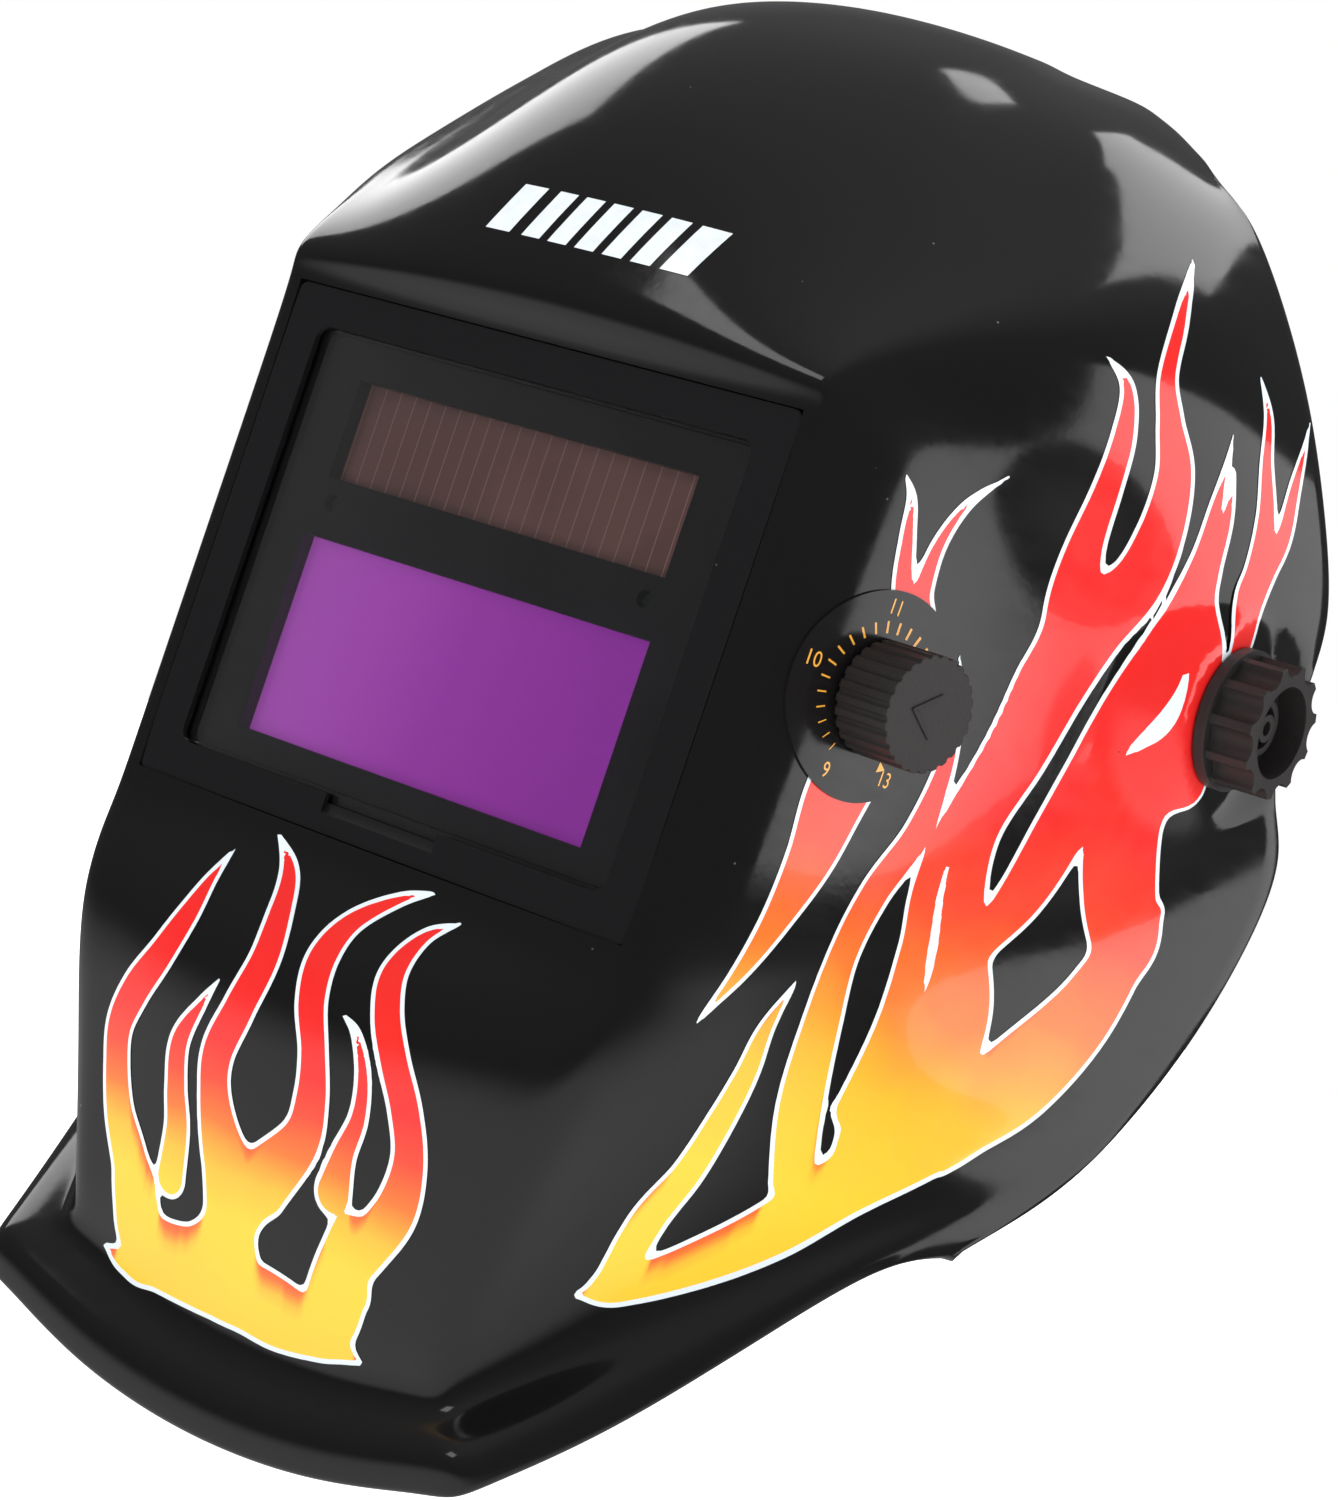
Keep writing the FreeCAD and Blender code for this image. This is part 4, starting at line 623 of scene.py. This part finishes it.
def flame_paint(name, low, high):
    """Printed flames: white edge, yellow at the root, orange, then red, and red under each gap."""
    paint = Paint(name, IOR=1.5)
    paint.shader.inputs["Coat Weight"].default_value = 0.5
    paint.shader.inputs["Coat Roughness"].default_value = 0.03
    waver = paint.math("MULTIPLY", paint.math("SUBTRACT", paint.noise(28.0, 3.0), 0.5), 0.25)
    height = paint.math("ADD", paint.grey(paint.axis("Z"), 0.0, 1.0, low * MM, high * MM), waver)
    glow = paint.node("ShaderNodeAttribute", attribute_name="glow")
    factor = paint.math("MAXIMUM", height, paint.math("MULTIPLY", glow.outputs["Fac"], 0.8))
    stops = [(0.0, (0.95, 0.58, 0.035)), (0.25, (0.95, 0.46, 0.03)), (0.5, (0.93, 0.17, 0.02)),
             (0.75, (0.88, 0.055, 0.02)), (1.0, (0.80, 0.018, 0.016))]
    depth = paint.node("ShaderNodeAttribute", attribute_name="depth")
    mix = paint.node("ShaderNodeMix", data_type="RGBA")
    paint.link(paint.math("LESS_THAN", depth.outputs["Fac"], WHITE_EDGE), mix.inputs["Factor"])
    paint.link(paint.ramp(factor, stops), mix.inputs["A"])
    mix.inputs["B"].default_value = (0.76, 0.83, 0.88, 1.0)
    paint.colour(mix.outputs["Result"])
    paint.rough(paint.grey(paint.noise(200.0, 3.0), 0.10, 0.18))
    paint.bump(paint.noise(22.0, 1.0), 0.18, 0.0011)
    return paint.material


def printed(name, base):
    paint = Paint(name, IOR=1.5)
    paint.shader.inputs["Coat Weight"].default_value = 0.6
    mottled = paint.noise(350.0, 4.0)
    paint.colour(paint.ramp(mottled, [(0.3, tinted(base, 0.93)), (0.7, tinted(base, 1.04))]))
    paint.rough(paint.grey(mottled, 0.12, 0.22))
    return paint.material


BLACK = (0.0065, 0.0060, 0.0060)
SHELL_GLOSS = gloss_plastic("shell_gloss", BLACK, 0.10)
SHELL_INSIDE = matte_plastic("shell_inside", (0.014, 0.014, 0.015), 0.38, 900.0, None)
MATERIALS = {
    "bezel_black": gloss_plastic("bezel_gloss", (0.008, 0.008, 0.009), 0.16),
    "cover_clear": clear_sheet("cover_clear", (0.97, 0.97, 0.98)),
    "cartridge_black": matte_plastic("cartridge_black", (0.012, 0.012, 0.014), 0.42),
    "filter_purple": filter_glass(),
    "lcd_glass": gloss_plastic("lcd_glass", (0.02, 0.03, 0.028), 0.08),
    "solar_brown": solar_glass(),
    "board_green": matte_plastic("board_green", (0.02, 0.11, 0.045), 0.45),
    "steel": metal("plated_steel", (0.62, 0.62, 0.64)),
    "brass": metal("turned_brass", (0.78, 0.56, 0.24)),
    "knob_black": matte_plastic("knob_black", (0.020, 0.0165, 0.0165), 0.46, 1500.0, 0.0004),
    "dial_black": gloss_plastic("dial_film", (0.009, 0.008, 0.008), 0.14),
    "cable_black": matte_plastic("cable_jacket", (0.012, 0.012, 0.012), 0.5),
    "band_grey": matte_plastic("band_nylon", (0.020, 0.020, 0.022), 0.4, 1200.0),
    "sweat_fabric": woven("sweat_towelling", (0.030, 0.031, 0.036)),
    "pad_fabric": woven("pad_towelling", (0.030, 0.031, 0.036)),
    "washer_nylon": matte_plastic("washer_nylon", (0.55, 0.53, 0.47), 0.4),
}
WHITE_PAINT = printed("white_print", (0.80, 0.86, 0.90))
YELLOW_PRINT = printed("dial_print", (0.92, 0.42, 0.05))


def paint_nodes():
    """Give each CAD piece the material of its slot."""
    for subpart in frame["record"]["subparts"]:
        material = MATERIALS.get(subpart["material_slot"], SHELL_GLOSS)
        give(nodes[subpart["node"]], material)


# ------------------------------------------------------------------ printed flames
def smooth_spine(points, steps=14):
    """Catmull-Rom line through the points, with their widths."""
    p = np.array(points, float)
    p = np.concatenate([2 * p[:1] - p[1:2], p, 2 * p[-1:] - p[-2:-1]])
    line = []
    for k in range(1, len(p) - 2):
        a, b, c, d = p[k - 1:k + 3]
        for t in np.arange(steps) / steps:
            line.append(0.5 * (2 * b + (c - a) * t + (2 * a - 5 * b + 4 * c - d) * t * t
                               + (3 * b - a - 3 * c + d) * t ** 3))
    line.append(p[-2])
    return np.array(line)


def outside_distance(points, tongues):
    """Distance outside the flames, negative inside; where tongues meet, the corner is rounded."""
    total = np.full(len(points), 1e3)
    for tongue in tongues:
        line = smooth_spine(tongue)
        gap = np.hypot(points[:, 0:1] - line[:, 0], points[:, 1:2] - line[:, 1]) - line[:, 2] / 2
        nearest = gap.min(axis=1)
        overlap = np.maximum(ROUNDING - np.abs(total - nearest), 0) / ROUNDING
        total = np.minimum(total, nearest) - overlap * overlap * ROUNDING / 4
    return total


def flat_flames(tongues):
    """Flat mesh of the flames, with each point's depth inside and its closeness to a gap above."""
    everything = np.array([point for tongue in tongues for point in tongue], float)
    low = everything[:, :2].min(0) - 12
    high = everything[:, :2].max(0) + 12
    xs = np.arange(low[0], high[0], PAINT_CELL)
    ys = np.arange(low[1], high[1], PAINT_CELL)
    grid = np.array([(x, y) for y in ys for x in xs])
    field = outside_distance(grid, tongues).reshape(len(ys), len(xs))
    glow = np.zeros_like(field)
    for step in range(1, 9):
        above = np.roll(field, -step, axis=0) > 0
        glow = np.maximum(glow, above * (1.0 - step / 9.0))
    glow[-9:] = 0
    points, faces, known = [], [], {}

    def crossing(first, second):
        """Place on the edge between two grid points, or a grid point itself."""
        key = (min(first, second), max(first, second))
        if key not in known:
            (i, j), (k, m) = key
            a, b = field[i, j], field[k, m]
            t = 0.0 if key[0] == key[1] else a / (a - b)
            known[key] = len(points)
            points.append((xs[j] + (xs[m] - xs[j]) * t, ys[i] + (ys[k] - ys[i]) * t,
                           0.0 if t else -a, glow[i, j] * (1 - t) + glow[k, m] * t))
        return known[key]

    for i in range(len(ys) - 1):
        for j in range(len(xs) - 1):
            corners = [(i, j), (i, j + 1), (i + 1, j + 1), (i + 1, j)]
            values = [field[c] < 0 for c in corners]
            if not any(values):
                continue
            face = []
            for k in range(4):
                here, following = corners[k], corners[(k + 1) % 4]
                if values[k]:
                    face.append(crossing(here, here))
                if values[k] != values[(k + 1) % 4]:
                    face.append(crossing(here, following))
            faces.append(face)
    return np.array(points), faces


class Wrapper:
    """Lays flat shapes on the shell."""

    def __init__(self, shell):
        mesh = shell.data
        self.normals = [v.normal.copy() for v in mesh.vertices]
        self.polygons = [tuple(p.vertices) for p in mesh.polygons]
        self.points = [v.co.copy() for v in mesh.vertices]
        self.tree = BVHTree.FromPolygons(self.points, self.polygons)

    def hit(self, origin, direction):
        """Point and smooth normal where a ray first meets the shell."""
        place, _, index, _ = self.tree.ray_cast(Vector(origin) * MM, Vector(direction))
        total = Vector((0, 0, 0))
        for k in self.polygons[index]:
            total += self.normals[k] / ((self.points[k] - place).length + 1e-5)
        return place, total.normalized()

    def wrap(self, name, flat, faces, rays, lift, material):
        """Piece made by sending each flat point along its ray and lifting it off the shell."""
        landed, normals = [], []
        for point in flat:
            place, normal = self.hit(*rays(point))
            near_knob = max(0.0, 1.0 - math.hypot(place.y, place.z) / 0.032)
            landed.append(place / MM + normal * (lift + near_knob))
            normals.append(normal)
        a, b, c = [landed[k] for k in faces[len(faces) // 2][:3]]
        if (b - a).cross(c - a).dot(normals[faces[len(faces) // 2][0]]) < 0:
            faces = [face[::-1] for face in faces]
        piece = mesh_object(name, landed, faces)
        piece.data.normals_split_custom_set_from_vertices(normals)
        give(piece, material)
        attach(piece, "helmet_shell")
        return piece


def side_rays(side):
    def ray(point):
        return (side * 200.0, point[0], point[1]), (-side, 0, 0)
    return ray


def front_rays(point):
    return (point[0], -300.0, point[1]), (0, 1, 0)


def paint_flames(wrapper, name, flat, faces, rays, material):
    piece = wrapper.wrap(name, flat, faces, rays, PAINT_LIFT, material)
    for column, label in ((2, "depth"), (3, "glow")):
        layer = piece.data.attributes.new(label, "FLOAT", "POINT")
        layer.data.foreach_set("value", flat[:, column].astype(np.float32))


def paint_brow(wrapper):
    """Plain slanted bars on the brow, in place of a name."""
    points, faces = [], []
    for centre, width in BROW_BARS:
        for i in range(13):
            for j in range(7):
                share, lean = i / 12, 3.0 * i / 12
                points.append((centre + width * 0.6 * (j / 6 - 0.5) + lean, 45.0 + 11.0 * share))
        start = len(points) - 91
        faces += [(start + i * 7 + j, start + i * 7 + j + 1, start + i * 7 + j + 8, start + i * 7 + j + 7)
                  for i in range(12) for j in range(6)]
    wrapper.wrap("brow_bars", points, faces, front_rays, PAINT_LIFT, WHITE_PAINT)


# ------------------------------------------------------------------ shade dial
def dial_frame():
    """Centre, outward axis and the dial's own right and up, from the joint."""
    joint = next(j for j in frame["joints"] if j["name"] == "shade_turn")
    centre = Vector(joint["pos_m"]) / MM
    out = Vector(joint["axis"]).normalized()
    up = (Vector((0, 0, 1)) - out * out.z).normalized()
    right = up.cross(out).normalized()
    return centre, out, right, up


def text_outline(text, size):
    """Filled digits, as flat points and triangles in millimetres."""
    curve = bpy.data.curves.new("digits", "FONT")
    curve.body = text
    curve.size = size
    curve.align_x = "CENTER"
    curve.align_y = "CENTER"
    curve.resolution_u = 6
    holder = bpy.data.objects.new("digits", curve)
    bpy.context.scene.collection.objects.link(holder)
    bpy.context.view_layer.update()
    mesh = bpy.data.meshes.new_from_object(holder.evaluated_get(bpy.context.evaluated_depsgraph_get()))
    solid = bmesh.new()
    solid.from_mesh(mesh)
    bmesh.ops.triangulate(solid, faces=solid.faces)
    points = [(v.co.x, v.co.y) for v in solid.verts]
    triangles = [[v.index for v in f.verts] for f in solid.faces]
    solid.free()
    bpy.data.objects.remove(holder)
    return points, triangles


def print_dial(wrapper):
    """Tick marks that grow from 9 round to 13, and the numbers beside them."""
    centre, out, right, up = dial_frame()
    points, triangles = [], []

    def add(flat, faces):
        start = len(points)
        points.extend(flat)
        triangles.extend([[start + k for k in face] for face in faces])

    ticks = 24
    for k in range(ticks):
        share = k / (ticks - 1)
        angle = math.radians(90 + 150 - 285 * share)
        width = 0.2 + 0.75 * share
        inner, outer = 12.6, 14.4 + 1.2 * share
        along = np.array([math.cos(angle), math.sin(angle)])
        across = np.array([-along[1], along[0]]) * width / 2
        add([along * inner - across, along * outer - across, along * outer + across, along * inner + across],
            [(0, 1, 2), (0, 2, 3)])
    pointer = np.array([7.2, -11.4])
    add([pointer, pointer + [-0.3, -2.2], pointer + [1.9, -1.3]], [(0, 1, 2)])
    places = {"9": -159, "10": -81, "11": -9, "12": 66, "13": 146}
    for text, degrees in places.items():
        angle = math.radians(90 - degrees)
        digits, faces = text_outline(text, 4.4)
        spot = np.array([math.cos(angle), math.sin(angle)]) * 17.6
        add([np.array(d) * [0.85, 1.0] + spot for d in digits], faces)

    def ray(point):
        start = centre + right * float(point[0]) + up * float(point[1]) + out * 20.0
        return start, -out

    wrapper.wrap("dial_print", points, triangles, ray, 0.70, YELLOW_PRINT)


def make_knob_pointer():
    """Raised V on the face of the shade knob."""
    centre, out, right, up = dial_frame()
    face = 0.6 + 0.9 + 14.0
    vertices, faces = [], []
    for side in (-1, 1):
        arm = [(-5.2, 0.0), (1.6, side * 4.6), (1.1, side * 3.6), (-3.7, 0.0)]
        start = len(vertices)
        for height in (-0.2, 0.35):
            for x, y in arm:
                vertices.append(centre + right * x + up * y + out * (face + height))
        for a, b in ((0, 1), (1, 2), (2, 3), (3, 0)):
            faces.append((start + a, start + b, start + b + 4, start + a + 4))
        faces.append((start + 4, start + 5, start + 6, start + 7))
    pointer = give(mesh_object("knob_pointer", vertices, faces, smooth=False), MATERIALS["knob_black"])
    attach(pointer, "shade_dial")


# ------------------------------------------------------------------ soft parts
def inflate(piece, voxel, cap):
    """Cloth with pressure inside swells the shape, no point moving more than cap."""
    remesh = piece.modifiers.new("remesh", "REMESH")
    remesh.mode = "VOXEL"
    remesh.voxel_size = voxel
    apply_modifiers(piece)
    rest = np.array([v.co for v in piece.data.vertices])
    cloth = piece.modifiers.new("cloth", "CLOTH")
    cloth.settings.use_pressure = True
    cloth.settings.uniform_pressure_force = 4.0
    cloth.settings.tension_stiffness = 12.0
    cloth.settings.bending_stiffness = 0.4
    cloth.settings.effector_weights.gravity = 0.0
    cloth.point_cache.frame_start = 1
    cloth.point_cache.frame_end = 20
    for number in range(1, 21):
        bpy.context.scene.frame_set(number)
    apply_modifiers(piece)
    bpy.context.scene.frame_set(1)
    moved = np.array([v.co for v in piece.data.vertices]) - rest
    length = np.linalg.norm(moved, axis=1, keepdims=True)
    moved *= np.minimum(1.0, cap / np.maximum(length, 1e-9))
    piece.data.vertices.foreach_set("co", (rest + moved).astype(np.float32).ravel())
    piece.data.update()
    piece.data.shade_smooth()


def apply_modifiers(piece):
    mesh = bpy.data.meshes.new_from_object(piece.evaluated_get(bpy.context.evaluated_depsgraph_get()))
    piece.modifiers.clear()
    piece.data = mesh


def soft_from_node(name, node, shrink, cap, grooves):
    """Padded piece grown from a slightly smaller copy of its CAD solid, then stitched."""
    source = nodes[node].data.copy()
    solid = bmesh.new()
    solid.from_mesh(source)
    bmesh.ops.remove_doubles(solid, verts=solid.verts, dist=1e-6)
    bmesh.ops.triangulate(solid, faces=solid.faces)
    bmesh.ops.subdivide_edges(solid, edges=[e for e in solid.edges if e.calc_length() > 0.01], cuts=2)
    solid.normal_update()
    for vertex in solid.verts:
        vertex.co -= vertex.normal * shrink
    solid.to_mesh(source)
    solid.free()
    piece = bpy.data.objects.new(name, source)
    bpy.context.scene.collection.objects.link(piece)
    inflate(piece, 0.0018, cap)
    smooth = piece.modifiers.new("smooth", "SMOOTH")
    smooth.iterations = 3
    finer = piece.modifiers.new("finer", "SUBSURF")
    finer.levels = finer.render_levels = 1
    apply_modifiers(piece)
    stitch(piece, grooves)
    piece.data.shade_smooth()
    return piece


def stitch(piece, grooves):
    """Pull the cloth in along its sewn lines and add small puckers beside them."""
    mesh = piece.data
    points = np.array([v.co for v in mesh.vertices])
    normals = np.array([v.normal for v in mesh.vertices])
    depth = np.zeros(len(points))
    for distance, width, deep in grooves(points):
        groove = np.exp(-(distance / width) ** 2) * deep
        pucker = 0.25 * deep * np.sin(points[:, 0] * 2200 + points[:, 2] * 1500) * np.exp(-(distance / (width * 3)) ** 2)
        depth = np.maximum(depth, groove + pucker)
    mesh.vertices.foreach_set("co", (points - normals * depth[:, None]).astype(np.float32).ravel())
    mesh.update()


TILT = math.radians(12)


def band_height(points):
    """Height of points above the middle of the tilted band, in metres."""
    return points[:, 2] * math.cos(TILT) + points[:, 1] * math.sin(TILT)


def make_sweatband():
    def grooves(points):
        height = band_height(points)
        yield np.abs(np.abs(height) - 0.0115), 0.0010, 0.0009
        angle = np.arctan2(points[:, 0], 0.03 - points[:, 1])
        spacing = 0.32
        offset = (angle / spacing + 0.5) % 1.0 - 0.5
        yield np.abs(offset) * spacing * 0.07, 0.0011, 0.0010

    piece = soft_from_node("sweatband_pad", "sweatband", 0.0010, 0.0012, grooves)
    finish_soft(piece, "sweatband", "headgear", "sweat_fabric")


def make_nape_pad():
    def grooves(points):
        height = band_height(points)
        middle = height.mean()
        yield np.abs(np.abs(height - middle) - 0.0150), 0.0011, 0.0010
        yield np.abs(np.abs(points[:, 0]) - 0.0330), 0.0011, 0.0010
        yield np.abs(np.abs(points[:, 0]) - 0.0115), 0.0012, 0.0012

    piece = soft_from_node("nape_cushion", "nape_pad", 0.0012, 0.0016, grooves)
    finish_soft(piece, "nape_pad", "rear_unit", "pad_fabric")


def finish_soft(piece, node, body, slot):
    give(piece, MATERIALS[slot])
    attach(piece, body)
    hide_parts(node)


# ------------------------------------------------------------------ stage
def make_floor():
    """Wide pale floor under the helmet; painted light (emission), weak near the middle and strong far out, fades it
    into the white surroundings.
    """
    low = cad_low.z - 0.25
    mesh = bpy.data.meshes.new("floor")
    sides = 96
    reach = 14.0
    mesh.from_pydata([(reach * math.cos(2 * math.pi * k / sides), reach * math.sin(2 * math.pi * k / sides), low)
                      for k in range(sides)], [], [list(range(sides))])
    floor = bpy.data.objects.new("floor", mesh)
    bpy.context.scene.collection.objects.link(floor)
    paint = Paint("floor_white", Roughness=0.6)
    paint.colour(paint.ramp(paint.noise(3.0, 4.0), [(0.3, (0.86, 0.86, 0.86)), (0.7, (0.9, 0.9, 0.9))]))
    # Painted light: the floor glows more the further it is from the middle.
    length = paint.node("ShaderNodeVectorMath", operation="LENGTH")
    paint.link(paint.place, length.inputs[0])
    glow = paint.grey(length.outputs["Value"], 0.35, 1.0, 0.4, 2.5)
    paint.shader.inputs["Emission Color"].default_value = (1, 1, 1, 1)
    paint.link(glow, paint.shader.inputs["Emission Strength"])
    give(floor, paint.material)
    floor.visible_glossy = False


def area_light(name, place, target, width, height, watts):
    light = bpy.data.lights.new(name, "AREA")
    light.shape = "RECTANGLE"
    light.size = width
    light.size_y = height
    light.energy = watts
    lamp = bpy.data.objects.new(name, light)
    bpy.context.scene.collection.objects.link(lamp)
    lamp.location = place
    lamp.rotation_euler = (Vector(target) - Vector(place)).to_track_quat("-Z", "Y").to_euler()
    return lamp


def make_lights():
    """Soft boxes above and beside, in white surroundings that polished faces mirror as dark."""
    area_light("box_right", (1.41, 0.74, 0.22), (0, 0, 0.02), 1.15, 0.7, 4.8)
    area_light("box_left", (-1.5, 0.34, 0.93), (0, 0, 0), 1.0, 0.8, 7.0)
    area_light("box_top", (0.3, 0.75, 1.5), (0, 0, 0.05), 1.0, 0.8, 8.0)
    area_light("box_front", (-0.7, -1.6, 1.3), (0, 0, -0.05), 0.7, 0.5, 3.0)
    world = bpy.data.worlds.new("studio")
    bpy.context.scene.world = world
    world.use_nodes = True
    tree = world.node_tree
    background = tree.nodes["Background"]
    direction = tree.nodes.new("ShaderNodeTexCoord").outputs["Generated"]
    split = tree.nodes.new("ShaderNodeSeparateXYZ")
    tree.links.new(direction, split.inputs["Vector"])
    ramp = tree.nodes.new("ShaderNodeValToRGB")
    stops = [(0.0, 0.9), (0.33, 0.7), (0.42, 0.16), (0.46, 0.08), (0.80, 0.16), (1.0, 0.35)]
    elements = ramp.color_ramp.elements
    while len(elements) < len(stops):
        elements.new(0.5)
    for element, (position, value) in zip(elements, stops):
        element.position = position
        element.color = (value, value, value, 1.0)
    remap = tree.nodes.new("ShaderNodeMapRange")
    remap.inputs["From Min"].default_value = -1.0
    tree.links.new(split.outputs["Z"], remap.inputs["Value"])
    tree.links.new(remap.outputs["Result"], ramp.inputs["Fac"])
    seen = tree.nodes.new("ShaderNodeLightPath")
    mix = tree.nodes.new("ShaderNodeMix")
    mix.data_type = "RGBA"
    tree.links.new(seen.outputs["Is Glossy Ray"], mix.inputs["Factor"])
    mix.inputs["A"].default_value = (1.0, 1.0, 1.0, 1.0)
    tree.links.new(ramp.outputs["Color"], mix.inputs["B"])
    tree.links.new(mix.outputs["Result"], background.inputs["Color"])
    background.inputs["Strength"].default_value = 1.0
    bpy.context.scene.view_settings.view_transform = "Standard"


def make_camera():
    """Three-quarter view from the wearer's front left, rolled as the helmet leans."""
    camera = bpy.data.objects.new("camera", bpy.data.cameras.new("camera"))
    bpy.context.scene.collection.objects.link(camera)
    right = Vector((0.7796, 0.5380, 0.3204))
    back = Vector((0.5691, -0.8222, -0.0041))
    up = back.cross(right).normalized()
    right = up.cross(back).normalized()
    turn = Matrix((right, up, back.normalized())).transposed().to_4x4()
    camera.matrix_world = Matrix.Translation((0.4654, -0.5845 - PIVOT_BACK * MM, -0.0183 - PIVOT_RISE * MM)) @ turn
    camera.data.lens = 90.09
    camera.data.sensor_width = 36.0
    camera.data.clip_start = 0.05
    camera.data.clip_end = 60.0
    bpy.context.scene.camera = camera


make_camera()
make_lights()
make_floor()
paint_nodes()
shell, outer_grid, window_hole = make_shell()
wrapper = Wrapper(shell)
side_points, side_faces = flat_flames(SIDE_FLAMES)
side_paint = flame_paint("side_flame_print", -118.0, -30.0)
paint_flames(wrapper, "side_flames_left", side_points, side_faces, side_rays(1), side_paint)
paint_flames(wrapper, "side_flames_right", side_points, side_faces, side_rays(-1), side_paint)
chin_points, chin_faces = flat_flames(CHIN_FLAMES)
chin_paint = flame_paint("chin_flame_print", -160.0, -126.0)
paint_flames(wrapper, "chin_flames", chin_points, chin_faces, front_rays, chin_paint)
paint_brow(wrapper)
print_dial(wrapper)
make_knob_pointer()
make_sweatband()
make_nape_pad()
